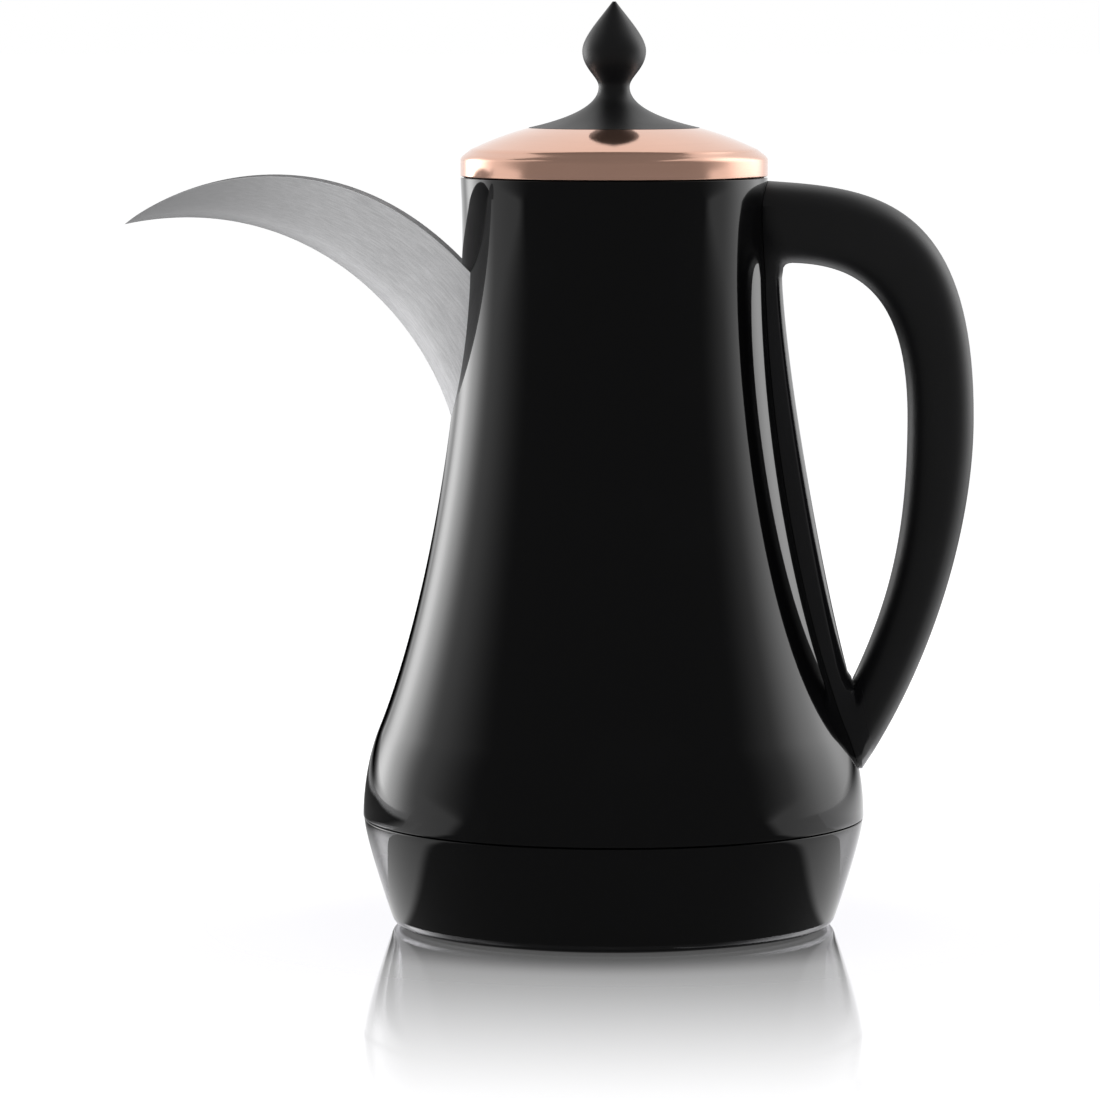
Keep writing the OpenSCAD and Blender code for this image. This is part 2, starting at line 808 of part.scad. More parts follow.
base_housing();
base_deck();
base_foot_ring();
base_connector();
connector_rings();
base_screws();
cord_gland();
connector_cap();
body_shell();
neck_ring();
inner_vessel();
vessel_seal();
spout();
spout_seal();
spout_strainer();
handle_grip();
handle_screws();
heater_plate();
heating_element();
thermostat();
thermal_fuse();
jug_base_cover();
jug_base_screws();
jug_socket();
socket_pins();
lid_ring();
lid_finial();
lid_liner();
lid_gasket();
lid_screw();
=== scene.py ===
import logging
import math
from collections.abc import Callable, Iterable, Sequence
from dataclasses import dataclass, field
from enum import Enum
from itertools import pairwise

import bmesh
import bpy
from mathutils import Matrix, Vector


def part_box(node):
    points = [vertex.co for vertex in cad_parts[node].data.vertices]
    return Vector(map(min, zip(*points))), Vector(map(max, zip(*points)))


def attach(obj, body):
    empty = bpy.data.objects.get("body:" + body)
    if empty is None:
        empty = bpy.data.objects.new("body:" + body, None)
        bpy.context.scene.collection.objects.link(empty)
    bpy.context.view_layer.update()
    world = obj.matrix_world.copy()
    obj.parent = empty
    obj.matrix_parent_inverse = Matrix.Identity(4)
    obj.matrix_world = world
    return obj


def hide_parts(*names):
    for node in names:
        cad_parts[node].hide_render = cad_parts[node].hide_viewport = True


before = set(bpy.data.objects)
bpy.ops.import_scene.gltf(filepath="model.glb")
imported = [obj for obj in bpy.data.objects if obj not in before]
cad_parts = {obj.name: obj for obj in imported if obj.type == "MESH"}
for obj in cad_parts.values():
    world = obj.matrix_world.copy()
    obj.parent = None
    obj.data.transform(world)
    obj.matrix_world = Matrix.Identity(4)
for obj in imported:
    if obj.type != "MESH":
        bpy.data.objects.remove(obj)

LOG = logging.getLogger("dallah")
MM = 0.001
TURN_STEPS = 192
WELD = 1e-6
CUT_WELD = 1.5e-5
HOLE_SIDES = 12
ROUND_SHARE = 0.45
WHITE = (1, 1, 1, 1)

Point = tuple[float, float]


class Body(Enum):
    """The bodies of the pot that move apart from each other."""

    POWER_BASE = "power_base"
    TURNING_CAP = "turning_cap"
    JUG = "jug"
    LID = "lid"


class Slot(Enum):
    """The material slots of the record."""

    GLOSS_BLACK = "gloss_black"
    MATTE_BLACK = "matte_black"
    MOULDED_BLACK = "moulded_black"
    COPPER = "copper_satin"
    STEEL = "brushed_steel"
    SILICONE = "silicone"
    RUBBER = "foot_rubber"
    BRASS = "contact_brass"
    ZINC = "zinc_screw"
    ALUMINIUM = "cast_aluminium"
    ELEMENT = "element_sheath"
    STEATITE = "steatite"
    FUSE = "fuse_case"


# ------------------------------------------------------------------- outlines


@dataclass(frozen=True)
class Bow:
    """A cubic curve in a plane, given in millimetres by its ends and its two handles."""

    start: Point
    lead: Point
    trail: Point
    end: Point

    def at(self, t: float) -> Vector:
        """The point at t, from 0 at the start to 1 at the end."""
        ends = Vector(self.start) * (1 - t) ** 3 + Vector(self.end) * t**3
        return ends + 3 * t * (1 - t) * (Vector(self.lead) * (1 - t) + Vector(self.trail) * t)

    def points(self, steps: int, first: int = 0) -> list[Point]:
        """Points along the curve at even steps, from the one numbered first."""
        return [tuple(self.at(i / steps)) for i in range(first, steps + 1)]


def inset(outline: Sequence[Point], depth: float) -> list[Point]:
    """Moves an outline that runs downwards inwards, square to itself.

    Args:
        outline: Points from top to bottom with the outside at greater radius.
        depth: How far each point moves inwards.

    Returns:
        The moved points.
    """
    moved = []
    for i, point in enumerate(outline):
        before = Vector(outline[max(i - 1, 0)])
        after = Vector(outline[min(i + 1, len(outline) - 1)])
        way = (after - before).normalized()
        moved.append((point[0] + way.y * depth, point[1] - way.x * depth))
    return moved


def eased(corners: Sequence[Point], radius: float, steps: int = 4) -> list[Point]:
    """Rounds the inner corners of a run of straight lines.

    Args:
        corners: The run's points, in millimetres.
        radius: Greatest distance from a corner at which its rounding starts.
        steps: Lines in each rounding.

    Returns:
        The run with an arc-like curve in place of each corner but its ends.
    """
    points = [corners[0]]
    for before, corner, after in zip(corners, corners[1:], corners[2:]):
        middle = Vector(corner)
        back, ahead = Vector(before) - middle, Vector(after) - middle
        reach = min(radius, ROUND_SHARE * back.length, ROUND_SHARE * ahead.length)
        start, end = middle + back.normalized() * reach, middle + ahead.normalized() * reach
        lead, trail = (tuple(point.lerp(middle, 1 - ROUND_SHARE)) for point in (start, end))
        points += Bow(tuple(start), lead, trail, tuple(end)).points(steps)
    return [*points, corners[-1]]


# ---------------------------------------------------------------------- bench


class Bench:
    """The modelling steps that the sub-assemblies share, each made with edit-mode tools."""

    @staticmethod
    def clear() -> None:
        """Leaves nothing selected in object mode."""
        if bpy.context.mode != "OBJECT":
            bpy.ops.object.mode_set(mode="OBJECT")
        bpy.ops.object.select_all(action="DESELECT")

    @staticmethod
    def pick(piece: bpy.types.Object) -> None:
        """Selects one piece alone and makes it active."""
        Bench.clear()
        piece.select_set(True)
        bpy.context.view_layer.objects.active = piece

    @staticmethod
    def edit(piece: bpy.types.Object) -> None:
        """Opens one piece in edit mode with all of it selected."""
        Bench.pick(piece)
        bpy.ops.object.mode_set(mode="EDIT")
        bpy.ops.mesh.select_all(action="SELECT")

    @staticmethod
    def start(name: str, add: Callable[..., set], **sizes: object) -> bpy.types.Object:
        """Adds a primitive and opens it in edit mode with all of it selected.

        Args:
            name: The piece's name.
            add: The operator that adds the primitive.
            sizes: The operator's own arguments.

        Returns:
            The new piece.
        """
        Bench.clear()
        add(**sizes)
        piece = bpy.context.object
        piece.name = name
        Bench.edit(piece)
        return piece

    @staticmethod
    def weld() -> None:
        """Merges doubles, turns all faces outwards and leaves edit mode."""
        bpy.ops.mesh.select_all(action="SELECT")
        bpy.ops.mesh.remove_doubles(threshold=WELD)
        bpy.ops.mesh.normals_make_consistent(inside=False)
        bpy.ops.object.mode_set(mode="OBJECT")

    @staticmethod
    def renumber() -> None:
        """Leaves and enters edit mode, so that the vertices are numbered without holes."""
        bpy.ops.object.mode_set(mode="OBJECT")
        bpy.ops.object.mode_set(mode="EDIT")

    @staticmethod
    def select_verts(piece: bpy.types.Object, numbers: Iterable[int]) -> None:
        """Selects vertices by number, with the edges between them.

        Args:
            piece: The piece in edit mode.
            numbers: The vertices' numbers.
        """
        bpy.ops.mesh.select_mode(type="VERT")
        bpy.ops.mesh.select_all(action="DESELECT")
        mesh = bmesh.from_edit_mesh(piece.data)
        mesh.verts.ensure_lookup_table()
        for number in numbers:
            mesh.verts[number].select = True
        mesh.select_flush(True)
        bmesh.update_edit_mesh(piece.data)

    @staticmethod
    def turn(name: str, outline: Sequence[Point], steps: int = TURN_STEPS) -> bpy.types.Object:
        """Turns an outline round the Z axis, as on a lathe.

        Args:
            name: The piece's name.
            outline: Radius and height of each point, in millimetres. It ends where it starts, or
                both ends are on the axis.
            steps: Faces round the axis.

        Returns:
            The turned piece, closed and with its faces outwards.
        """
        points = [Vector((r, 0, z)) * MM for r, z in outline]
        piece = Bench.start(name, bpy.ops.mesh.primitive_plane_add, size=MM)
        bpy.ops.mesh.merge(type="CENTER")
        bpy.ops.transform.translate(value=points[0])
        for here, there in pairwise(points):
            bpy.ops.mesh.extrude_vertices_move(TRANSFORM_OT_translate={"value": there - here})
        bpy.ops.mesh.select_all(action="SELECT")
        bpy.ops.mesh.spin(steps=steps, angle=math.tau, center=(0, 0, 0), axis=(0, 0, 1))
        Bench.weld()
        return piece

    @staticmethod
    def modify(piece: bpy.types.Object, kind: str, **settings: object) -> None:
        """Adds one modifier and applies it.

        Args:
            piece: The piece to change.
            kind: The modifier's type.
            settings: Its settings.
        """
        Bench.pick(piece)
        modifier = piece.modifiers.new(kind.lower(), kind)
        for key, value in settings.items():
            setattr(modifier, key, value)
        bpy.ops.object.modifier_apply(modifier=modifier.name)

    @staticmethod
    def cut(piece: bpy.types.Object, tool: bpy.types.Object, weld: float = CUT_WELD) -> None:
        """Takes a tool's form out of a piece, throws the tool away and mends the cut.

        Args:
            piece: The piece to cut.
            tool: The form that is taken out.
            weld: Distance at which the slivers along the cut are merged.
        """
        Bench.modify(piece, "BOOLEAN", operation="DIFFERENCE", solver="EXACT", object=tool)
        bpy.data.objects.remove(tool)
        Bench.edit(piece)
        bpy.ops.mesh.select_mode(type="VERT")
        mends = (
            (bpy.ops.mesh.remove_doubles, {"threshold": weld}),
            (bpy.ops.mesh.dissolve_degenerate, {"threshold": WELD}),
            (bpy.ops.mesh.delete_loose, {}),
            (bpy.ops.mesh.fill_holes, {"sides": HOLE_SIDES}),
            (bpy.ops.mesh.delete_loose, {}),
        )
        for mend, settings in mends:
            bpy.ops.mesh.select_all(action="SELECT")
            mend(**settings)
        bpy.ops.object.mode_set(mode="OBJECT")

    @staticmethod
    def smooth(piece: bpy.types.Object, angle: float = 30) -> None:
        """Shades a piece smooth, with creases where it folds by more than angle degrees."""
        Bench.pick(piece)
        bpy.ops.object.shade_smooth_by_angle(angle=math.radians(angle))

    @staticmethod
    def copy_node(node: str) -> bpy.types.Object:
        """Copies a CAD node's mesh into a new piece of its own, merged and shaded smooth.

        Args:
            node: The CAD node.

        Returns:
            The new piece, at the origin.
        """
        piece = bpy.data.objects.new(f"{node}_dressed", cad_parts[node].data.copy())
        bpy.context.scene.collection.objects.link(piece)
        Bench.edit(piece)
        bpy.ops.mesh.remove_doubles(threshold=WELD)
        bpy.ops.object.mode_set(mode="OBJECT")
        Bench.smooth(piece)
        return piece

    @staticmethod
    def drill(radius: float, length: float, at: Vector, along: Vector) -> bpy.types.Object:
        """Makes a plain round rod that cuts a hole.

        Args:
            radius: Its radius in millimetres.
            length: Its length in millimetres.
            at: Its middle in millimetres.
            along: The direction of its axis.

        Returns:
            The rod.
        """
        Bench.clear()
        bpy.ops.mesh.primitive_cylinder_add(
            vertices=64, radius=radius * MM, depth=length * MM, location=at * MM,
            rotation=along.to_track_quat("Z", "Y").to_euler(),
        )
        bpy.ops.object.transform_apply(location=True, rotation=True, scale=True)
        return bpy.context.object


@dataclass(frozen=True)
class Station:
    """One section of a swept form: its middle and the half that runs to its outer edge, in mm."""

    middle: Vector
    half: Vector
    width: float

    @property
    def tilt(self) -> float:
        """Angle of the half above the X axis, in radians."""
        return math.atan2(self.half.y, self.half.x)


class Sweep:
    """A form through a row of sections that all start as copies of one ring."""

    def __init__(self, name: str, ring: Callable[[], int], stations: Sequence[Station]) -> None:
        """Lays a copy of the ring at each station.

        Args:
            name: The piece's name.
            ring: Shapes the ring in edit mode, in the XY plane round the origin with a half size
                of 1, and returns its number of vertices.
            stations: Where each copy goes.
        """
        self.piece = Bench.start(name, bpy.ops.mesh.primitive_plane_add, size=2)
        self.count = ring()
        self.rows = len(stations)
        Bench.renumber()
        origin = (0, 0, 0)
        for station in stations:
            self.select(0)
            bpy.ops.mesh.duplicate()
            stretch = (station.half.length * MM, station.width / 2 * MM, 1)
            bpy.ops.transform.resize(value=stretch, center_override=origin)
            bpy.ops.transform.rotate(value=station.tilt, orient_axis="Y", center_override=origin)
            bpy.ops.transform.translate(value=Vector((station.middle.x, 0, station.middle.y)) * MM)
        self.select(0)
        bpy.ops.mesh.delete(type="VERT")
        Bench.renumber()

    def select(self, *rows: int) -> None:
        """Selects copies of the ring by number."""
        Bench.select_verts(self.piece, [row * self.count + i for row in rows for i in range(self.count)])

    def skin(self, closed: bool = False) -> None:
        """Bridges each ring to the next, and the last to the first if the form is closed."""
        pairs = list(pairwise(range(self.rows)))
        if closed:
            pairs.append((self.rows - 1, 0))
        for here, there in pairs:
            self.select(here, there)
            bpy.ops.mesh.bridge_edge_loops()

    def cap(self, row: int) -> None:
        """Closes one ring with a face."""
        self.select(row)
        bpy.ops.mesh.edge_face_add()


# --------------------------------------------------------------- shader maths


class Signal:
    """A shader socket that takes part in Python expressions, each adding its Math node."""

    def __init__(self, desk: "ShaderDesk", socket: bpy.types.NodeSocket) -> None:
        """Wraps one output socket of the desk's tree."""
        self.desk = desk
        self.socket = socket

    def _math(self, operation: str, *values: "Signal | float") -> "Signal":
        """Adds a Math node on the given values."""
        return self.desk.node("Math", {"operation": operation}, dict(enumerate(values)))

    def __add__(self, other: "Signal | float") -> "Signal":
        """This signal plus another."""
        return self._math("ADD", self, other)

    def __sub__(self, other: "Signal | float") -> "Signal":
        """This signal less another."""
        return self._math("SUBTRACT", self, other)

    def __rsub__(self, other: float) -> "Signal":
        """A number less this signal."""
        return self._math("SUBTRACT", other, self)

    def __mul__(self, other: "Signal | float") -> "Signal":
        """This signal times another."""
        return self._math("MULTIPLY", self, other)

    def __truediv__(self, other: "Signal | float") -> "Signal":
        """This signal over another."""
        return self._math("DIVIDE", self, other)

    def __pow__(self, other: "Signal | float") -> "Signal":
        """This signal to a power."""
        return self._math("POWER", self, other)

    __radd__ = __add__
    __rmul__ = __mul__

    def hypot(self, other: "Signal") -> "Signal":
        """Length of the right triangle's long side over two signals."""
        return (self * self + other * other) ** 0.5

    def larger(self, other: "Signal") -> "Signal":
        """The larger of two signals."""
        return self._math("MAXIMUM", self, other)

    def around(self, other: "Signal") -> "Signal":
        """Angle of the point (other, self) in radians."""
        return self._math("ARCTAN2", self, other)

    def ramp(self, low: float, high: float, start: float = 0.0, end: float = 1.0) -> "Signal":
        """Eases from start to end while the signal goes from low to high.

        Args:
            low: Signal at which the result leaves start.
            high: Signal at which the result reaches end.
            start: Result below low.
            end: Result above high.

        Returns:
            The eased signal.
        """
        sockets = {0: self, 1: low, 2: high, 3: start, 4: end}
        return self.desk.node("MapRange", {"interpolation_type": "SMOOTHSTEP"}, sockets)


Feed = Signal | float | Sequence[float]


class ShaderDesk:
    """The node tree of one material or world, and the one way its nodes are made."""

    def __init__(self, owner: bpy.types.Material | bpy.types.World) -> None:
        """Empties the owner's tree."""
        owner.use_nodes = True
        self.owner = owner
        self.tree = owner.node_tree
        self.tree.nodes.clear()

    def node(
        self, kind: str, settings: dict[str, object] | None = None,
        sockets: dict[int | str, Feed] | None = None, out: int | str = 0,
    ) -> Signal:
        """Makes one node.

        Args:
            kind: The node's type without its prefix.
            settings: Its own properties.
            sockets: The values or signals of its inputs.
            out: The output to return.

        Returns:
            The chosen output.
        """
        made = self.tree.nodes.new(f"ShaderNode{kind}")
        for key, value in (settings or {}).items():
            setattr(made, key, value)
        for key, value in (sockets or {}).items():
            self.feed(made.inputs[key], value)
        return Signal(self, made.outputs[out])

    def feed(self, socket: bpy.types.NodeSocket, value: Feed) -> None:
        """Links a signal to a socket, or sets a plain value on it."""
        if isinstance(value, Signal):
            self.tree.links.new(value.socket, socket)
        else:
            socket.default_value = value

    def place(self) -> Signal:
        """The point on the piece, in the piece's own metres."""
        return self.node("TexCoord", out="Object")

    def axes(self) -> tuple[Signal, Signal, Signal]:
        """The point's three coordinates."""
        split = self.node("SeparateXYZ", sockets={0: self.place()}).socket.node
        return tuple(Signal(self, split.outputs[i]) for i in range(3))

    def join(self, x: Feed, y: Feed, z: Feed) -> Signal:
        """A vector from three numbers."""
        return self.node("CombineXYZ", sockets={0: x, 1: y, 2: z})

    def noise(self, scale: float, detail: float = 3, at: Signal | None = None) -> Signal:
        """Soft noise from 0 to 1.

        Args:
            scale: Patches per metre, or per unit of at.
            detail: Number of finer layers.
            at: Where it is read, or the point on the piece.

        Returns:
            The noise.
        """
        where = at or self.place()
        return self.node("TexNoise", sockets={"Vector": where, "Scale": scale, "Detail": detail}, out=0)

    def tint(self, share: Feed, first: Feed, second: Feed) -> Signal:
        """Mixes two colours: the first where share is 0 and the second where it is 1."""
        return self.node("Mix", {"data_type": "RGBA"}, {0: share, 6: first, 7: second}, out=2)

    def bump(self, height: Signal, depth: float, strength: float = 1.0) -> Signal:
        """A normal bent by a height.

        Args:
            height: The relief, from 0 to 1.
            depth: The relief's depth in metres.
            strength: Share of it that shows.

        Returns:
            The bent normal.
        """
        return self.node("Bump", sockets={"Height": height, "Distance": depth, "Strength": strength})

    def finish(self, **sockets: Feed) -> None:
        """Sets the surface to one Principled shader with the given sockets, spaces as underscores."""
        named = {key.replace("_", " "): value for key, value in sockets.items()}
        surface = self.node("BsdfPrincipled", sockets=named)
        self.output(surface)

    def output(self, surface: Signal) -> None:
        """Ends the tree in a surface."""
        kind = "World" if isinstance(self.owner, bpy.types.World) else "Material"
        end = self.tree.nodes.new(f"ShaderNodeOutput{kind}")
        self.tree.links.new(surface.socket, end.inputs["Surface"])


# ------------------------------------------------------------------- finishes

Colour = tuple[float, float, float]


def solid(colour: Colour, level: float = 1.0) -> tuple[float, float, float, float]:
    """A colour with its level changed and full alpha."""
    return (colour[0] * level, colour[1] * level, colour[2] * level, 1.0)


@dataclass(frozen=True)
class GlossBlack:
    """Polished black moulding with a faint ripple and a few soft handling smears."""

    colour: Colour = (0.0012, 0.0012, 0.0014)
    roughness: float = 0.035
    index: float = 1.4
    smear: float = 0.05
    smear_scale: float = 26
    smeared: Point = (0.52, 0.78)
    grain: float = 0.01
    grain_scale: float = 900
    ripple: float = 0.000004
    ripple_scale: float = 240

    def dress(self, desk: ShaderDesk) -> None:
        """Builds the finish on a desk."""
        smears = desk.noise(self.smear_scale, 4).ramp(*self.smeared)
        grain = desk.noise(self.grain_scale, 2)
        desk.finish(
            Base_Color=desk.tint(smears, solid(self.colour), solid(self.colour, 1.5)),
            Roughness=smears * self.smear + grain * self.grain + self.roughness,
            IOR=self.index,
            Normal=desk.bump(desk.noise(self.ripple_scale, 2), self.ripple),
        )


@dataclass(frozen=True)
class MatteBlack:
    """Soft-touch black with a fine eroded texture, rubbed a little smoother in places.

    The handle's rib is polished below a line from polished_foot to polished_top, in metres.
    """

    colour: Colour = (0.006, 0.006, 0.0068)
    roughness: float = 0.4
    index: float = 1.45
    grain_scale: float = 2600
    relief: float = 0.00003
    rubbed: float = 0.06
    rubbed_scale: float = 34
    polished_foot: Point | None = None
    polished_top: Point | None = None
    polished_roughness: float = 0.1
    polish_fade: Point = (0.001, 0.005)
    polish_end: Point = (-0.004, 0.003)

    def polish(self, desk: ShaderDesk) -> Signal:
        """Share of the polish: full up to the rib's face and top, and none past them."""
        x, _, z = desk.axes()
        (foot_x, foot_z), (top_x, top_z) = self.polished_foot, self.polished_top
        face = (z - foot_z) * ((top_x - foot_x) / (top_z - foot_z)) + foot_x
        low, high = self.polish_end
        return (x - face).ramp(*self.polish_fade, 1, 0) * z.ramp(top_z + low, top_z + high, 1, 0)

    def dress(self, desk: ShaderDesk) -> None:
        """Builds the finish on a desk."""
        wear = desk.noise(self.rubbed_scale, 3).ramp(0.4, 0.7)
        grain = desk.noise(self.grain_scale, 3)
        rough = self.roughness + grain * 0.08 - wear * self.rubbed
        if self.polished_foot and self.polished_top:
            share = self.polish(desk)
            rough = rough * (1 - share) + share * self.polished_roughness
        tone = grain * 0.5 + wear * 0.3
        desk.finish(
            Base_Color=desk.tint(tone, solid(self.colour, 0.75), solid(self.colour, 1.35)),
            Roughness=rough,
            IOR=self.index,
            Normal=desk.bump(grain, self.relief, 0.6),
        )


@dataclass(frozen=True)
class SpunCopper:
    """Copper-coloured sheet with spun lines round the pot's axis, satin on its band."""

    colour: Colour = (0.83, 0.5, 0.38)
    crease_z: float = 0.2405
    crease_half: float = 0.001
    band_roughness: float = 0.12
    cone_roughness: float = 0.04
    band_metallic: float = 0.76
    cone_metallic: float = 0.93
    lines: float = 5200
    relief: float = 0.000012
    cloud_scale: float = 60

    def dress(self, desk: ShaderDesk) -> None:
        """Builds the finish on a desk."""
        x, y, z = desk.axes()
        line = desk.noise(1, 2, desk.join(x.hypot(y) * self.lines, z * self.lines, y.around(x) * 1.5))
        cloud = desk.noise(self.cloud_scale, 3)
        tone = line * 0.6 + cloud * 0.4
        low, high = self.crease_z - self.crease_half, self.crease_z + self.crease_half
        polish = z.ramp(low, high, self.band_roughness, self.cone_roughness)
        desk.finish(
            Base_Color=desk.tint(tone, solid(self.colour, 0.88), solid(self.colour, 1.08)),
            Metallic=z.ramp(low, high, self.band_metallic, self.cone_metallic),
            Roughness=polish + line * 0.04 + cloud * 0.03,
            Normal=desk.bump(line, self.relief, 0.5),
        )


@dataclass(frozen=True)
class BrushedSteel:
    """Steel with a fine grain that follows the spout's arc, or runs round the pot's axis.

    Its colour is painted darker towards the spout's tip over a range of x: painted shade on the trough's
    narrow tip.
    """

    colour: Colour = (0.84, 0.84, 0.85)
    roughness: float = 0.42
    metallic: float = 0.25
    arc_centre: Point | None = None
    # Painted shade: the range of x, in metres, over which the colour darkens towards the spout's tip.
    painted_tip_shade: Point = (-0.15, -0.05)
    lines: float = 2400
    relief: float = 0.00001
    speck_scale: float = 3200
    cloud_scale: float = 45

    def dress(self, desk: ShaderDesk) -> None:
        """Builds the finish on a desk."""
        x, y, z = desk.axes()
        if self.arc_centre:
            centre_x, centre_z = self.arc_centre
            across, along = (x - centre_x).hypot(z - centre_z), (z - centre_z).around(x - centre_x)
            grain_at = desk.join(across * self.lines, y * self.lines, along * 14)
        else:
            grain_at = desk.join(x.hypot(y) * self.lines, z * self.lines, y.around(x) * 3)
        grain = desk.noise(1, 3, grain_at)
        speck = desk.noise(self.speck_scale, 2)
        cloud = desk.noise(self.cloud_scale, 3)
        # Painted shade: the tone falls to nothing at the spout's tip, so the steel's colour darkens there
        # as shade would.
        tone = (grain * 0.5 + speck * 0.3 + cloud * 0.2) * x.ramp(*self.painted_tip_shade)
        desk.finish(
            Base_Color=desk.tint(tone, solid(self.colour, 0.4), solid(self.colour, 1.45)),
            Metallic=self.metallic,
            Roughness=self.roughness + grain * 0.1 + cloud * 0.04,
            Normal=desk.bump(grain * 0.7 + speck * 0.3, self.relief, 0.6),
        )


@dataclass(frozen=True)
class Elastomer:
    """Silicone or rubber with a dusty, slightly mottled skin."""

    colour: Colour
    roughness: float
    grain_scale: float = 1500
    relief: float = 0.00002

    def dress(self, desk: ShaderDesk) -> None:
        """Builds the finish on a desk."""
        dust = desk.noise(110, 4)
        grain = desk.noise(self.grain_scale, 2)
        desk.finish(
            Base_Color=desk.tint(dust, solid(self.colour, 0.85), solid(self.colour, 1.12)),
            Roughness=self.roughness + dust * 0.1,
            Normal=desk.bump(grain, self.relief, 0.5),
        )


@dataclass(frozen=True)
class Metal:
    """Small metal parts: a cloudy tarnish and a grain of their own size."""

    colour: Colour
    tarnish: Colour
    roughness: float
    grain_scale: float = 1800
    relief: float = 0.00001

    def dress(self, desk: ShaderDesk) -> None:
        """Builds the finish on a desk."""
        cloud = desk.noise(90, 4).ramp(0.35, 0.75)
        grain = desk.noise(self.grain_scale, 3)
        desk.finish(
            Base_Color=desk.tint(cloud, solid(self.colour), solid(self.tarnish)),
            Metallic=1.0,
            Roughness=self.roughness + grain * 0.1 + cloud * 0.08,
            Normal=desk.bump(grain, self.relief, 0.6),
        )


@dataclass(frozen=True)
class Steatite:
    """Unglazed pale ceramic with tiny pores."""

    colour: Colour = (0.82, 0.8, 0.75)
    roughness: float = 0.6
    pores: float = 2200
    relief: float = 0.00003

    def dress(self, desk: ShaderDesk) -> None:
        """Builds the finish on a desk."""
        pores = desk.noise(self.pores, 4)
        desk.finish(
            Base_Color=desk.tint(pores, solid(self.colour, 0.88), solid(self.colour)),
            Roughness=self.roughness + pores * 0.15,
            Normal=desk.bump(pores, self.relief, 0.5),
        )


Finish = GlossBlack | MatteBlack | SpunCopper | BrushedSteel | Elastomer | Metal | Steatite


@dataclass
class Paintbox:
    """One material for each finish, made when it is first asked for."""

    finishes: dict[Slot, Finish] = field(default_factory=lambda: {
        Slot.GLOSS_BLACK: GlossBlack(),
        Slot.MATTE_BLACK: MatteBlack(),
        Slot.MOULDED_BLACK: MatteBlack(
            (0.025, 0.025, 0.027), roughness=0.5, grain_scale=1700, relief=0.00005,
        ),
        Slot.COPPER: SpunCopper(),
        Slot.STEEL: BrushedSteel(),
        Slot.SILICONE: Elastomer((0.7, 0.68, 0.63), 0.5),
        Slot.RUBBER: Elastomer((0.03, 0.03, 0.03), 0.75),
        Slot.BRASS: Metal((0.78, 0.57, 0.24), (0.62, 0.42, 0.16), 0.22),
        Slot.ZINC: Metal((0.6, 0.61, 0.63), (0.52, 0.52, 0.46), 0.3),
        Slot.ALUMINIUM: Metal((0.66, 0.67, 0.68), (0.56, 0.56, 0.57), 0.42, 700, 0.00006),
        Slot.ELEMENT: Metal((0.4, 0.38, 0.35), (0.3, 0.23, 0.17), 0.4),
        Slot.STEATITE: Steatite(),
        Slot.FUSE: Metal((0.6, 0.48, 0.28), (0.45, 0.36, 0.22), 0.4),
    })
    made: dict[Finish, bpy.types.Material] = field(default_factory=dict)

    def material(self, slot: Slot, own: Finish | None = None) -> bpy.types.Material:
        """The material of a slot, or of a variant of its finish that one piece has.

        Args:
            slot: The record's slot.
            own: The piece's own variant.

        Returns:
            The material.
        """
        finish = own or self.finishes[slot]
        if finish not in self.made:
            material = bpy.data.materials.new(slot.value if own is None else f"{slot.value}_own")
            finish.dress(ShaderDesk(material))
            self.made[finish] = material
        return self.made[finish]


PAINT = Paintbox()


def hand_over(
    piece: bpy.types.Object, body: Body, slot: Slot, nodes: Iterable[str] = (), own: Finish | None = None,
) -> None:
    """Dresses a finished piece and gives it to the body it rides on.

    Args:
        piece: The piece, at the origin.
        body: The body that carries it.
        slot: The record's material slot.
        nodes: The CAD nodes that it stands for.
        own: A variant of the slot's finish for this piece alone.
    """
    piece.data.materials.clear()
    piece.data.materials.append(PAINT.material(slot, own))
    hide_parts(*nodes)
    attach(piece, body.value)
    LOG.info("%s: %d faces, %s, rides on %s", piece.name, len(piece.data.polygons), slot.value, body.value)


def dress_copies(body: Body, parts: dict[str, Slot]) -> None:
    """Copies CAD nodes as pieces of their own and dresses them.

    Args:
        body: The body that carries them.
        parts: The slot of each node.
    """
    for node, slot in parts.items():
        hand_over(Bench.copy_node(node), body, slot, [node])


def span(node: str) -> tuple[Vector, Vector]:
    """A CAD node's lowest and highest corners in millimetres."""
    low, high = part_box(node)
    return low / MM, high / MM


# ------------------------------------------------------------------- jug body


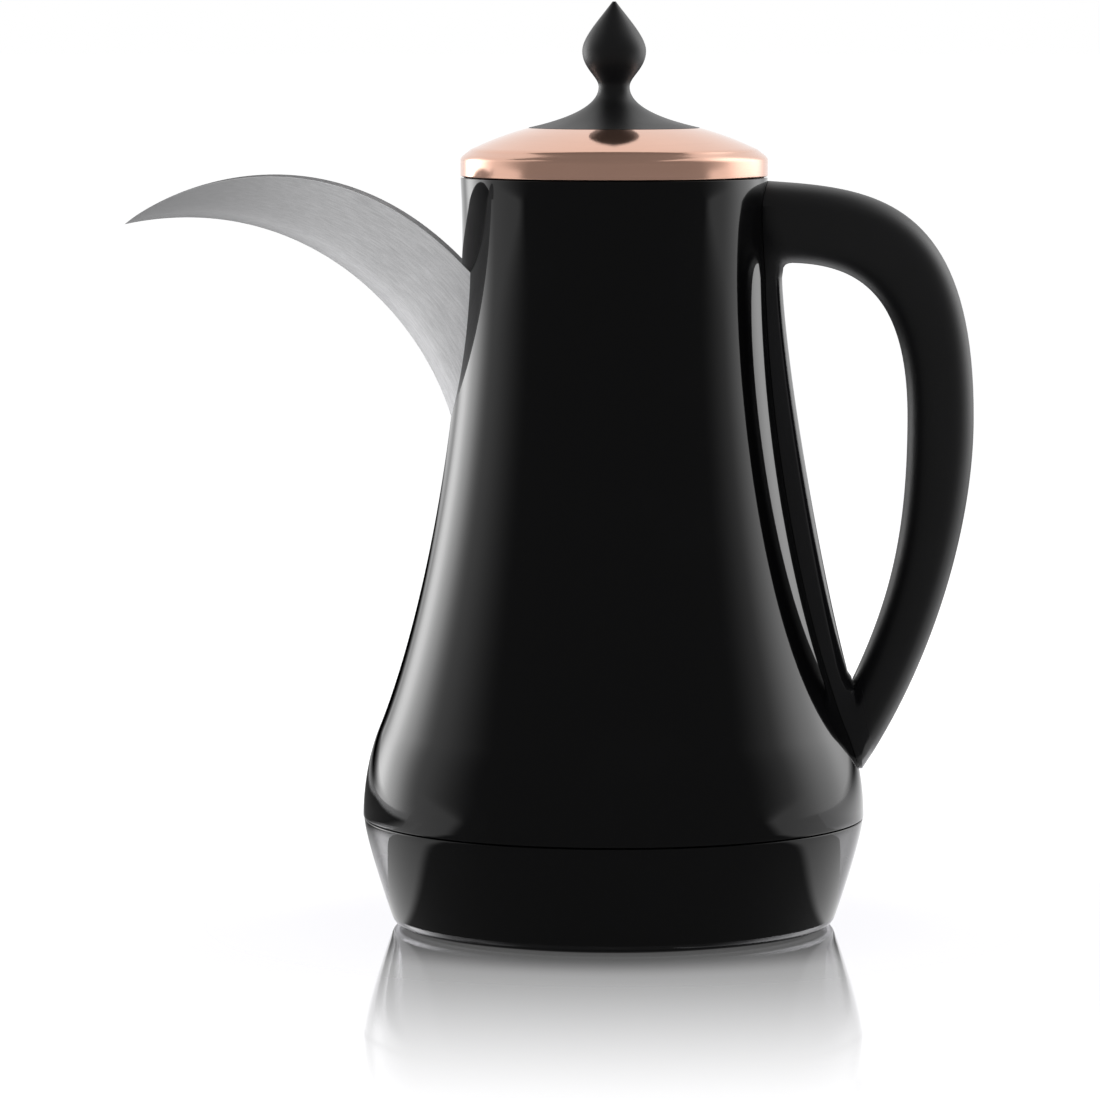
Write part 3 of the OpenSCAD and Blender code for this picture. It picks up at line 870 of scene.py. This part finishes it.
@dataclass
class JugShell:
    """The tapered black body: a long flare from the mouth into a round belly."""

    flare_lead: Point = (43.9, 171)
    flare_trail: Point = (58.1, 98.2)
    shoulder: Point = (72.3, 62.4)
    belly_lead: Point = (75.7, 54.4)
    belly_trail_z: float = 43.9
    wall: float = 2.2
    rebate: Point = (46.3, 229.8)
    rim_edge: float = 0.3
    foot_edge: float = 0.45
    foot_lip: float = 2.5
    spout_gap: float = 0.1
    tool_end: float = 8
    low: Vector = field(default_factory=lambda: span("body_shell")[0])
    high: Vector = field(default_factory=lambda: span("body_shell")[1])
    mouth_r: float = field(default_factory=lambda: span("lid_ring")[1].y)

    def outline(self) -> list[Point]:
        """The outside from the mouth over the shoulder and the belly down to the seam."""
        belly_r = self.high.y
        flare = Bow((self.mouth_r, self.high.z), self.flare_lead, self.flare_trail, self.shoulder)
        belly = Bow(self.shoulder, self.belly_lead, (belly_r, self.belly_trail_z), (belly_r, self.low.z))
        return flare.points(56) + belly.points(18, 1)

    def form(self, grow: float, least: float = 0.0) -> bpy.types.Object:
        """The body as a solid tool.

        Args:
            grow: How much larger than the body it is, in millimetres.
            least: Its least radius, in millimetres.

        Returns:
            The tool.
        """
        outside = [(max(r, least), z) for r, z in inset(self.outline(), -grow)]
        top, seam = self.high.z + self.tool_end, self.low.z - self.tool_end
        lid, base = [(0, top), (outside[0][0], top)], [(outside[-1][0], seam), (0, seam)]
        return Bench.turn("body_tool", lid + outside + base)

    def build(self, spout: "Spout") -> None:
        """Turns the shell, opens it for the spout and dresses it.

        Args:
            spout: The spout whose root passes through the wall.
        """
        outside = self.outline()
        rebate_r, rebate_z = self.rebate
        belly_r, seam_z = self.high.y, self.low.z
        inner_r = belly_r - self.wall
        rim = eased([(self.mouth_r - self.wall, rebate_z), self.rebate, (rebate_r, self.high.z),
                     (self.mouth_r, self.high.z), outside[2]], self.rim_edge)
        foot = eased([outside[-2], (belly_r, seam_z), (inner_r, seam_z),
                      (inner_r, seam_z + self.foot_lip)], self.foot_edge)
        inner = [p for p in reversed(inset(outside, self.wall)) if seam_z + 3 < p[1] < rebate_z - 2]
        shell = Bench.turn("jug_shell", rim[:-1] + outside[2:-2] + foot + inner + rim[:1])
        Bench.cut(shell, spout.root_tool(self.spout_gap))
        Bench.smooth(shell, 35)
        hand_over(shell, Body.JUG, Slot.GLOSS_BLACK, ["body_shell"])


# ---------------------------------------------------------------------- spout


@dataclass
class Spout:
    """The crescent trough of sheet steel that narrows to a point."""

    upper: Bow = Bow((-46.9, 206.1), (-88.8, 249), (-136.8, 229.3), (-151, 217.5))
    lower: Bow = Bow((-50.4, 158.3), (-61.2, 193.5), (-98.8, 228.7), (-151, 217.5))
    taper: float = 1.8
    root_width: float = 32
    wall: float = 1.2
    edge: float = 0.25
    stations: int = 56
    root_stations: int = 14
    sides: int = 56
    inward_upper: float = 8
    inward_lower: float = 16
    tip_depth: float = 0.05
    tip_width: float = 0.08
    tip_gauge: float = 0.02
    thinning: float = 0.22
    seat: float = 4.3
    neck_r: float = 42.9
    weld: float = 0.02

    def sections(self, grow: float = 0.0, root_only: bool = False) -> list[Station]:
        """Sections from inside the body out to the tip.

        Args:
            grow: How much wider and deeper each section is made, in millimetres.
            root_only: Whether the sections stop a little outside the body.

        Returns:
            The sections.
        """
        made = []
        for number in range(-1, (self.root_stations if root_only else self.stations) + 1):
            t = max(number, 0) / self.stations
            up, low = self.upper.at(t), self.lower.at(t)
            if number < 0:
                up = up + self.inward_upper * (up - Vector(self.upper.lead)).normalized()
                low = low + self.inward_lower * (low - Vector(self.lower.lead)).normalized()
            width = self.root_width * (1 - t**self.taper)
            depth = low - up
            down = depth.normalized() * max(depth.length + grow, self.tip_depth)
            made.append(Station(up, down, max(width + 2 * grow, self.tip_width)))
        return made

    def arc(self, closed: bool) -> int:
        """Shapes half a circle in edit mode, from one rim over the keel to the other.

        Args:
            closed: Whether a straight line joins the two rims.

        Returns:
            The number of vertices.
        """
        bpy.ops.mesh.delete(type="VERT")
        bpy.ops.mesh.primitive_circle_add(vertices=2 * self.sides, radius=1, rotation=(0, 0, math.pi / 2))
        bpy.ops.mesh.select_all(action="SELECT")
        bpy.ops.mesh.bisect(plane_co=(-0.0001, 0, 0), plane_no=(1, 0, 0), clear_inner=True)
        mesh = bmesh.from_edit_mesh(bpy.context.object.data)
        count = len(mesh.verts)
        if closed:
            for vertex in mesh.verts:
                vertex.select = abs(vertex.co.x) < 0.01
            mesh.select_flush(True)
            bmesh.update_edit_mesh(bpy.context.object.data)
            bpy.ops.mesh.edge_face_add()
        return count

    def root_tool(self, grow: float) -> bpy.types.Object:
        """The outside of the trough's root as a closed tool, grown by so many millimetres."""
        sweep = Sweep("root_tool", lambda: self.arc(closed=True), self.sections(grow, root_only=True))
        sweep.skin()
        sweep.cap(0)
        sweep.cap(sweep.rows - 1)
        Bench.weld()
        return sweep.piece

    def grain_centre(self) -> Point:
        """Centre of the circle through the trough's root, middle and tip, in metres."""
        root, middle, tip = (self.upper.at(t).lerp(self.lower.at(t), 0.5) * MM for t in (0, 0.5, 1))
        first, second = middle - root, tip - middle
        cross = 2 * (first.x * second.y - first.y * second.x)
        a = middle.length_squared - root.length_squared
        b = tip.length_squared - middle.length_squared
        return ((a * second.y - b * first.y) / cross, (b * first.x - a * second.x) / cross)

    def build(self, body: JugShell) -> None:
        """Sweeps the trough, gives it its thickness and seats it against the vessel.

        Args:
            body: The body that the trough passes through.
        """
        sweep = Sweep("spout_trough", lambda: self.arc(closed=False), self.sections())
        sweep.skin()
        bpy.ops.mesh.select_all(action="SELECT")
        bpy.ops.mesh.normals_make_consistent(inside=False)
        bpy.ops.object.mode_set(mode="OBJECT")
        trough = sweep.piece
        self.face_out(trough)
        gauge = trough.vertex_groups.new(name="gauge")
        tip_x = self.upper.end[0]
        for vertex in trough.data.vertices:
            reach = (vertex.co.x / MM - tip_x) / (self.thinning * -tip_x)
            gauge.add([vertex.index], max(self.tip_gauge, min(1.0, reach)), "REPLACE")
        Bench.modify(trough, "SOLIDIFY", thickness=self.wall * MM, offset=-1, use_even_offset=False,
                     vertex_group="gauge", thickness_vertex_group=self.tip_gauge)
        Bench.modify(trough, "BEVEL", width=self.edge * MM, segments=2, limit_method="ANGLE",
                     angle_limit=math.radians(50))
        Bench.cut(trough, body.form(-self.seat, self.neck_r), self.weld * MM)
        Bench.smooth(trough, 40)
        hand_over(trough, Body.JUG, Slot.STEEL, ["spout"], BrushedSteel(arc_centre=self.grain_centre()))

    @staticmethod
    def face_out(trough: bpy.types.Object) -> None:
        """Turns the sheet so that its faces point away from the pouring side."""
        lowest = min(trough.data.polygons, key=lambda face: face.center.z)
        if lowest.normal.z > 0 or lowest.normal.x > 0:
            trough.data.flip_normals()


# --------------------------------------------------------------------- handle


@dataclass
class Handle:
    """The closed loop of arm, grip, foot and the rib that lies against the body."""

    outer_arm: Bow = Bow((47.4, 230.9), (79.7, 228.8), (111.3, 226.3), (111.3, 157.2))
    inner_arm: Bow = Bow((55, 205.6), (76.4, 205.1), (90.9, 194.8), (90.9, 157.2))
    outer_grip: Bow = Bow((111.3, 157.2), (111.3, 122.3), (98, 79.7), (77.2, 48.6))
    inner_grip: Bow = Bow((90.9, 157.2), (90.9, 121.7), (85.8, 101), (74.1, 76))
    rib_face: Bow = Bow((72.6, 79), (64, 111.2), (53.3, 172.6), (51.9, 201))
    rib_back: Bow = Bow((60, 70), (51, 110), (43.5, 160), (42.5, 203))
    arm_width: float = 27
    grip_width: float = 24
    rib_foot_width: float = 20
    rib_top_width: float = 15
    foot_turn: tuple[tuple[Point, Point, float], ...] = (
        ((70, 48), (-0.1, 0.4), 1),
        ((61, 58), (-0.3, 1.2), 2),
    )
    root_turn: tuple[tuple[Point, Point, float], ...] = (
        ((41, 213), (52.3, -1.4), 0.3),
        ((40, 224), (53, -0.5), 0.7),
        ((42, 230.9), (54, -0.1), 1),
    )
    arm_steps: int = 40
    grip_steps: int = 48
    rib_steps: int = 24
    body_gap: float = 0.1
    corner_steps: int = 12
    squareness: float = 0.5665

    def ring(self) -> int:
        """Rounds the plane in edit mode into a slightly square ring.

        Returns:
            The number of vertices.
        """
        bpy.ops.mesh.bevel(offset=1, affect="VERTICES", segments=self.corner_steps, profile=self.squareness)
        bpy.ops.mesh.select_all(action="SELECT")
        bpy.ops.mesh.remove_doubles(threshold=1e-5)
        bpy.ops.mesh.delete(type="ONLY_FACE")
        return 4 * self.corner_steps

    @staticmethod
    def section(outer: Vector, inner: Vector, width: float) -> Station:
        """The section between two points of the side view."""
        return Station((outer + inner) / 2, (outer - inner) / 2, width)

    def run(self, outer: Bow, inner: Bow, widths: Point, steps: int, first: int = 0) -> list[Station]:
        """Sections along a pair of edges.

        Args:
            outer: The edge away from the finger gap.
            inner: The edge at the finger gap.
            widths: Width at the start and at the end.
            steps: Steps along the edges.
            first: Number of the first section.

        Returns:
            The sections.
        """
        made = []
        for number in range(first, steps + 1):
            t = number / steps
            width = widths[0] + (widths[1] - widths[0]) * t
            made.append(self.section(outer.at(t), inner.at(t), width))
        return made

    def turns(self) -> tuple[list[Station], list[Station]]:
        """Sections that lead the loop round its foot and round its root.

        Returns:
            The foot's sections, from the grip to the rib, and the root's, from the rib to the arm.
        """
        crotch = Vector(self.inner_grip.end)
        arm_z = self.inner_arm.start[1]
        widen = self.arm_width - self.rib_top_width
        foot = [self.section(Vector(outer), crotch + Vector(step), self.grip_width - less)
                for outer, step, less in self.foot_turn]
        root = [self.section(Vector(outer), Vector((x, arm_z + rise)), self.rib_top_width + share * widen)
                for outer, (x, rise), share in self.root_turn]
        return foot, root

    def build(self, body: JugShell) -> None:
        """Sweeps the loop once round the finger gap and cuts it to the body.

        Args:
            body: The body against which the loop lies.
        """
        grip, rib = (self.grip_width, self.grip_width), (self.rib_foot_width, self.rib_top_width)
        foot, root = self.turns()
        loop = [
            *self.run(self.outer_arm, self.inner_arm, (self.arm_width, self.grip_width), self.arm_steps),
            *self.run(self.outer_grip, self.inner_grip, grip, self.grip_steps, 1),
            *foot,
            *self.run(self.rib_back, self.rib_face, rib, self.rib_steps),
            *root,
        ]
        sweep = Sweep("handle_loop", self.ring, loop)
        sweep.skin(closed=True)
        Bench.weld()
        Bench.cut(sweep.piece, body.form(self.body_gap))
        Bench.smooth(sweep.piece, 40)
        low, high = (tuple(Vector(end) * MM) for end in (self.rib_face.start, self.rib_face.end))
        finish = MatteBlack(polished_foot=low, polished_top=high)
        hand_over(sweep.piece, Body.JUG, Slot.MATTE_BLACK, ["handle_grip"], finish)


# ------------------------------------------------------------------------ lid


@dataclass
class Lid:
    """The copper-coloured ring, the turned finial and the plug under them."""

    sheet: float = 1.0
    band_height: float = 4.8
    cone_lead: Point = (33.4, 245.4)
    cone_trail: Point = (39.4, 242.9)
    crease: Point = (44.2, 240.6)
    shoulder_lead: Point = (45.5, 239.3)
    shoulder_trail_z: float = 238.6
    hem_edge: float = 0.3
    ledge_depth: float = 0.8
    stem_gap: float = 0.1
    skirt_r: float = 26.4
    skirt_gap: float = 0.1
    skirt_lead: Point = (15.5, 249.7)
    skirt_trail: Point = (4.6, 253.6)
    skirt_seat_depth: float = 0.75
    skirt_wall: float = 2.3
    hollow: tuple[Point, ...] = ((8, 249.4), (13, 248.8))
    stem_r: float = 5.5
    stem_low: float = 224.1
    neck: Point = (4.8, 260)
    swell_lead: Point = (5, 263)
    swell_trail_z: float = 265.5
    bulb: Point = (9.85, 270.8)
    point_lead_z: float = 275
    point_trail: Point = (4.6, 280.5)
    point_r: float = 0.5
    pilot_r: float = 1.95
    pilot_length: float = 28
    pilot_z: float = 224
    ring_low: Vector = field(default_factory=lambda: span("lid_ring")[0])
    ring_high: Vector = field(default_factory=lambda: span("lid_ring")[1])
    tip: Vector = field(default_factory=lambda: span("lid_finial")[1])

    def ring(self) -> None:
        """Turns the cone, the rounded shoulder and the band, with a hem at the band's lower edge."""
        radius, low, top = self.ring_high.y, self.ring_low.z, self.ring_high.z
        band = (radius, low + self.band_height)
        cone = Bow((self.skirt_r, top), self.cone_lead, self.cone_trail, self.crease)
        shoulder = Bow(self.crease, self.shoulder_lead, (radius, self.shoulder_trail_z), band)
        outside = cone.points(12) + shoulder.points(12, 1)
        ledge = top - self.ledge_depth
        ledge_low = ledge - self.sheet
        inner, stem = radius - self.sheet, self.stem_r + self.stem_gap
        under = [p for p in inset(outside, self.sheet) if low + 2 < p[1] < ledge_low]
        hem = eased([outside[-1], (radius, low), (inner, low), under[-1]], self.hem_edge)
        inside = [*reversed(under[:-1]), (stem, ledge_low), (stem, ledge), (self.skirt_r, ledge),
                  (self.skirt_r, top)]
        piece = Bench.turn("lid_ring_spun", outside + hem[1:] + inside)
        Bench.smooth(piece)
        hand_over(piece, Body.LID, Slot.COPPER, ["lid_ring"])

    def finial(self) -> None:
        """Turns the finial: a wide skirt, a thin neck and a pointed bulb."""
        top = self.ring_high.z
        seat = top - self.skirt_seat_depth
        rim_r, bulb_r = self.skirt_r - self.skirt_gap, self.bulb[0]
        skirt = Bow((rim_r, top + self.skirt_gap), self.skirt_lead, self.skirt_trail, self.neck)
        swell = Bow(self.neck, self.swell_lead, (bulb_r, self.swell_trail_z), self.bulb)
        point = Bow(self.bulb, (bulb_r, self.point_lead_z), self.point_trail, (self.point_r, self.tip.z))
        hollow_r = self.hollow[0][0]
        under = [(0, self.stem_low), (self.stem_r, self.stem_low), (self.stem_r, seat), (hollow_r, seat),
                 *self.hollow, (rim_r - self.skirt_wall, seat), (rim_r, seat)]
        outside = skirt.points(28) + swell.points(16, 1) + point.points(20, 1)
        piece = Bench.turn("lid_finial_turned", under + outside + [(0, self.tip.z)])
        up = Vector((0, 0, 1))
        Bench.cut(piece, Bench.drill(self.pilot_r, self.pilot_length, up * self.pilot_z, up))
        Bench.smooth(piece, 35)
        hand_over(piece, Body.LID, Slot.MATTE_BLACK, ["lid_finial"])

    def build(self) -> None:
        """Builds the whole lid, with the plug, its gasket and its screw."""
        self.ring()
        self.finial()
        plug = {"lid_liner": Slot.MOULDED_BLACK, "lid_gasket": Slot.SILICONE, "lid_screw": Slot.ZINC}
        dress_copies(Body.LID, plug)


# ----------------------------------------------------------------- power base


@dataclass
class PowerBase:
    """The tapered housing that the jug stands on, with its deck, connector, feet and cord bush."""

    rim_r: float = 77.5
    rim_edge: float = 0.4
    lip_depth: float = 3
    lip_step: float = 0.1
    side_lead: Point = (77.1, 28)
    side_trail: Point = (72.4, 13)
    side_end: Point = (69.1, 3.4)
    edge_lead: Point = (68.4, 1.4)
    edge_trail: Point = (67.6, 0.8)
    edge_end_r: float = 66.2
    ring_seat_r: float = 62.1
    floor_low: float = 1.8
    floor_top: float = 4.2
    floor_r: float = 64
    wall: float = 2.4
    screw_angles: tuple[float, ...] = (30, 150, 270)
    screw_circle_r: float = 46
    screw_r: float = 1.75
    screw_head_r: float = 3.6
    screw_head_depth: float = 3.25
    bush_r: float = 5.1
    bush_at: Point = (75, 13)
    low: Vector = field(default_factory=lambda: span("base_housing")[0])
    high: Vector = field(default_factory=lambda: span("base_housing")[1])

    def outline(self) -> list[Point]:
        """The housing's section, from the inside of its rim round to the same point."""
        rim_z, foot_z = self.high.z, self.low.z
        side = Bow((self.rim_r, rim_z), self.side_lead, self.side_trail, self.side_end).points(30)
        edge = Bow(self.side_end, self.edge_lead, self.edge_trail, (self.edge_end_r, foot_z)).points(8, 1)
        lip_r = self.rim_r - self.wall - self.lip_step
        lip = eased([(lip_r, rim_z - self.lip_depth), (lip_r, rim_z), (self.rim_r, rim_z), side[3]],
                    self.rim_edge)
        under = [(self.ring_seat_r, foot_z), (self.ring_seat_r, self.floor_low), (0, self.floor_low),
                 (0, self.floor_top), (self.floor_r, self.floor_top)]
        low, high = self.floor_top + 2, rim_z - self.lip_depth - 1
        inside = [p for p in reversed(inset(side, self.wall)) if low < p[1] < high]
        return lip[:-1] + side[3:] + edge + under + inside + lip[:1]

    def housing(self) -> None:
        """Turns the housing and drills it for its screws and the cord bush."""
        piece = Bench.turn("base_housing_turned", self.outline())
        up, back = Vector((0, 0, 1)), Vector((0, 1, 0))
        for angle in map(math.radians, self.screw_angles):
            at = Vector((math.cos(angle), math.sin(angle), 0)) * self.screw_circle_r
            depth = self.screw_head_depth
            Bench.cut(piece, Bench.drill(self.screw_r, 12, at + up * 4, up))
            Bench.cut(piece, Bench.drill(self.screw_head_r, depth, at + up * depth / 2, up))
        bush_y, bush_z = self.bush_at
        Bench.cut(piece, Bench.drill(self.bush_r, 30, back * bush_y + up * bush_z, back))
        Bench.smooth(piece)
        hand_over(piece, Body.POWER_BASE, Slot.GLOSS_BLACK, ["base_housing"])

    def build(self) -> None:
        """Builds the whole base, with its fittings and the cap that turns in its connector."""
        self.housing()
        dress_copies(Body.POWER_BASE, {
            "base_deck": Slot.MOULDED_BLACK,
            "base_connector": Slot.MOULDED_BLACK,
            "cord_gland": Slot.MOULDED_BLACK,
            "connector_rings": Slot.BRASS,
            "base_foot_ring": Slot.RUBBER,
            "base_screws": Slot.ZINC,
        })
        dress_copies(Body.TURNING_CAP, {"connector_cap": Slot.MOULDED_BLACK})


# ------------------------------------------------------------------ jug works


@dataclass
class JugWorks:
    """What is inside and under the jug: the vessel, seals, heater and the socket."""

    parts: dict[str, Slot] = field(default_factory=lambda: {
        "neck_ring": Slot.MOULDED_BLACK,
        "inner_vessel": Slot.STEEL,
        "vessel_seal": Slot.SILICONE,
        "spout_seal": Slot.SILICONE,
        "spout_strainer": Slot.STEEL,
        "handle_screws": Slot.ZINC,
        "heater_plate": Slot.ALUMINIUM,
        "heating_element": Slot.ELEMENT,
        "thermostat": Slot.STEATITE,
        "thermal_fuse": Slot.FUSE,
        "jug_base_cover": Slot.MOULDED_BLACK,
        "jug_base_screws": Slot.ZINC,
        "jug_socket": Slot.MOULDED_BLACK,
        "socket_pins": Slot.BRASS,
    })

    def build(self) -> None:
        """Copies each part and dresses it."""
        dress_copies(Body.JUG, self.parts)


# --------------------------------------------------------------------- studio


def soft_edges(desk: ShaderDesk, soft: float) -> Signal:
    """Share that falls to 0 at the four edges of a sheet that was 1 wide, over soft of its size."""
    x, y, _ = desk.axes()
    across, along = (way.ramp(-0.5, soft - 0.5) * way.ramp(0.5 - soft, 0.5, 1, 0) for way in (x, y))
    return across * along


def stage_glow(sheet: bpy.types.Object, desk: ShaderDesk, level: Feed, share: Feed, lights: bool) -> None:
    """Makes a studio sheet glow on its face, clear on its back and unseen by the camera.

    Args:
        sheet: The sheet.
        desk: The desk of its new material.
        level: How bright it is.
        share: How much of it shows.
        lights: Whether it lights matte surfaces too, and not only gloss.
    """
    sheet.visible_camera = False
    sheet.visible_diffuse = lights
    sheet.visible_shadow = False
    glow = desk.node("Emission", sockets={"Color": WHITE, "Strength": level})
    clear = desk.node("BsdfTransparent")
    shown = (1 - desk.node("NewGeometry", out="Backfacing")) * share
    desk.output(desk.node("MixShader", sockets={0: shown, 1: clear, 2: glow}))
    sheet.data.materials.append(desk.owner)


def studio_sheet(name: str, width: float, depth: float) -> tuple[bpy.types.Object, ShaderDesk]:
    """Adds a flat sheet at the origin.

    Args:
        name: The sheet's name.
        width: Its size along its own X axis, in metres.
        depth: Its size along its own Y axis, in metres.

    Returns:
        The sheet, and the desk of a new material for it.
    """
    Bench.clear()
    bpy.ops.mesh.primitive_plane_add(size=1)
    sheet = bpy.context.object
    sheet.name = name
    sheet.scale = (width, depth, 1)
    return sheet, ShaderDesk(bpy.data.materials.new(name))


@dataclass(frozen=True)
class Panel:
    """A bright panel that stands round the pot and faces it, in degrees and metres."""

    name: str
    azimuth: float
    distance: float
    height: float
    width: float
    tall: float
    level: float
    near_level: float
    far_level: float
    soft: float = 0.4

    def build(self) -> None:
        """Stands the panel and lights it, from its near level on one side to its far level."""
        angle = math.radians(self.azimuth)
        outward = Vector((math.sin(angle), -math.cos(angle), 0))
        panel, desk = studio_sheet(self.name, self.width, self.tall)
        panel.location = outward * self.distance + Vector((0, 0, self.height))
        panel.rotation_euler = (-outward).to_track_quat("Z", "Y").to_euler()
        slope = desk.axes()[0].ramp(-0.5, 0.5, self.near_level, self.far_level)
        stage_glow(panel, desk, slope * self.level, soft_edges(desk, self.soft), lights=True)


@dataclass(frozen=True)
class Card:
    """A dark card that lies under, behind or over the pot, in metres and degrees."""

    name: str
    at: tuple[float, float, float]
    width: float
    depth: float
    level: float
    slope: float = 0.0
    soft: float = 0.25

    def build(self) -> None:
        """Lays the card and tones it; only gloss sees it."""
        card, desk = studio_sheet(self.name, self.width, self.depth)
        card.location = self.at
        card.rotation_euler = (math.radians(self.slope), 0, 0)
        stage_glow(card, desk, self.level, soft_edges(desk, self.soft), lights=False)


@dataclass(frozen=True)
class Flag:
    """A dark sweep round the front that only gloss sees: a floor and a wall, in metres and degrees."""

    level: float = 0.15
    rim_level: float = 1.0
    half: float = 104
    foot_half: float = 78
    near: float = 0.0705
    radius: float = 2.6
    tall: float = 4.4
    foot_z: float = 0.001
    steps: int = 96
    widening_z: float = 0.3
    foot_fade: float = 8
    top_fade: float = 40

    def sheet(self) -> bpy.types.Object:
        """Sweeps the flag's section round the pot's axis and turns its face upwards."""
        half = math.radians(self.half)
        out = Vector((math.sin(-half), -math.cos(-half), 0))
        run = [out * self.near, out * self.radius, out * self.radius + Vector((0, 0, self.tall))]
        piece = Bench.start("front_flag", bpy.ops.mesh.primitive_plane_add, size=MM)
        bpy.ops.mesh.merge(type="CENTER")
        bpy.ops.transform.translate(value=run[0] + Vector((0, 0, self.foot_z)))
        for here, there in pairwise(run):
            bpy.ops.mesh.extrude_vertices_move(TRANSFORM_OT_translate={"value": there - here})
        bpy.ops.mesh.select_all(action="SELECT")
        bpy.ops.mesh.spin(steps=self.steps, angle=-2 * half, center=(0, 0, 0), axis=(0, 0, 1))
        bpy.ops.mesh.select_all(action="SELECT")
        bpy.ops.mesh.normals_make_consistent(inside=False)
        bpy.ops.object.mode_set(mode="OBJECT")
        if min(piece.data.polygons, key=lambda face: face.center.z).normal.z < 0:
            piece.data.flip_normals()
        return piece

    def build(self) -> None:
        """Stands the flag, dark at its middle and white at its two sides."""
        piece = self.sheet()
        desk = ShaderDesk(bpy.data.materials.new(piece.name))
        x, y, z = desk.axes()
        aside = x.around(y * -1.0)
        foot_half, half, foot_fade, top_fade = map(
            math.radians, (self.foot_half, self.half, self.foot_fade, self.top_fade)
        )
        edge = z.ramp(0, self.widening_z, foot_half, half)
        fade = z.ramp(0, self.widening_z, foot_fade, top_fade)
        share = ((aside * aside) ** 0.5 - edge) / fade + 1
        stage_glow(piece, desk, share.ramp(0, 1, self.level, self.rim_level), 1.0, lights=False)


@dataclass
class Studio:
    """The white floor, the lit surroundings and the camera."""

    white: float = 1.0
    ambient: float = 0.5
    floor_size: float = 60
    paper: tuple[float, float, float, float] = (0.5, 0.5, 0.51, 1)
    paper_glow: float = 0.78
    sheen: tuple[float, float, float, float] = (0.97, 0.965, 0.995, 1)
    sheen_roughness: float = 0.05
    sheen_reach: Point = (0.03, 0.39)
    sheen_share: float = 0.74
    contact_reach: Point = (0.074, 0.11)
    contact_share: float = 0.18
    camera_at: Point = (-1.92, 0.2869)
    look_at_z: float = 0.1166
    across: float = -0.01975
    lens: float = 203.5
    flag: Flag = Flag()
    panels: tuple[Panel, ...] = (
        Panel("left_rear_panel", -125, 1.0, 0.25, 0.96, 1.3, level=3.6, near_level=0.6, far_level=1.5),
        Panel("right_rear_panel", 118, 1.2, 0.8, 1.5, 2.6, level=2.6, near_level=1.2, far_level=0.8),
    )
    cards: tuple[Card, ...] = (
        Card("spout_card", (-0.31, 0.33, 0.001), 0.6, 0.6, 0.1),
        Card("rear_card", (0, 0.75, 0.053), 1.5, 1.0, 0.0, slope=6.5, soft=0.3),
        Card("ceiling_card", (-1, -0.2, 4.4), 6.0, 4.8, 0.16, slope=180, soft=0.04),
    )

    def world(self) -> None:
        """Makes the surroundings white to the eye and to gloss, and dimmer as a light."""
        world = bpy.data.worlds.new("studio")
        bpy.context.scene.world = world
        desk = ShaderDesk(world)
        path = desk.node("LightPath").socket.node
        camera, gloss, through = (
            Signal(desk, path.outputs[f"Is {kind} Ray"]) for kind in ("Camera", "Glossy", "Transmission")
        )
        seen = camera.larger(gloss).larger(through)
        level = seen * (self.white - self.ambient) + self.ambient
        desk.output(desk.node("Background", sockets={"Color": WHITE, "Strength": level}))

    def floor(self) -> None:
        """Lays a white floor with a polished reflection that fades away from the pot."""
        Bench.clear()
        bpy.ops.mesh.primitive_plane_add(size=self.floor_size)
        floor = bpy.context.object
        floor.name = "studio_floor"
        desk = ShaderDesk(bpy.data.materials.new(floor.name))
        x, y, _ = desk.axes()
        away = x.hypot(y)
        wide = away.ramp(*self.sheen_reach, self.sheen_share, 0)
        share = wide + away.ramp(*self.contact_reach, self.contact_share, 0)
        matte = desk.node("BsdfDiffuse", sockets={"Color": self.paper})
        glow = desk.node("Emission", sockets={"Color": WHITE, "Strength": self.paper_glow})
        paper = desk.node("AddShader", sockets={0: matte, 1: glow})
        sheen = desk.node("BsdfGlossy", sockets={"Color": self.sheen, "Roughness": self.sheen_roughness})
        desk.output(desk.node("MixShader", sockets={0: share, 1: paper, 2: sheen}))
        floor.data.materials.append(desk.owner)

    def camera(self) -> None:
        """Sets the camera a little above the pot, level with its side."""
        data = bpy.data.cameras.new("studio_camera")
        data.lens = self.lens
        camera = bpy.data.objects.new("studio_camera", data)
        bpy.context.scene.collection.objects.link(camera)
        camera.location = (self.across, *self.camera_at)
        target = Vector((self.across, 0, self.look_at_z))
        camera.rotation_euler = (target - camera.location).to_track_quat("-Z", "Y").to_euler()
        bpy.context.scene.camera = camera

    def build(self) -> None:
        """Builds the whole studio."""
        bpy.context.scene.view_settings.view_transform = "Standard"
        self.camera()
        self.world()
        self.flag.build()
        for card in self.cards:
            card.build()
        self.floor()
        for panel in self.panels:
            panel.build()


def main() -> None:
    """Builds the studio and the pot."""
    logging.basicConfig(level=logging.INFO, format="%(message)s")
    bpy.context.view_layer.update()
    Studio().build()
    shell, spout = JugShell(), Spout()
    shell.build(spout)
    spout.build(shell)
    Handle().build(shell)
    Lid().build()
    PowerBase().build()
    JugWorks().build()


if __name__ == "__main__":
    main()
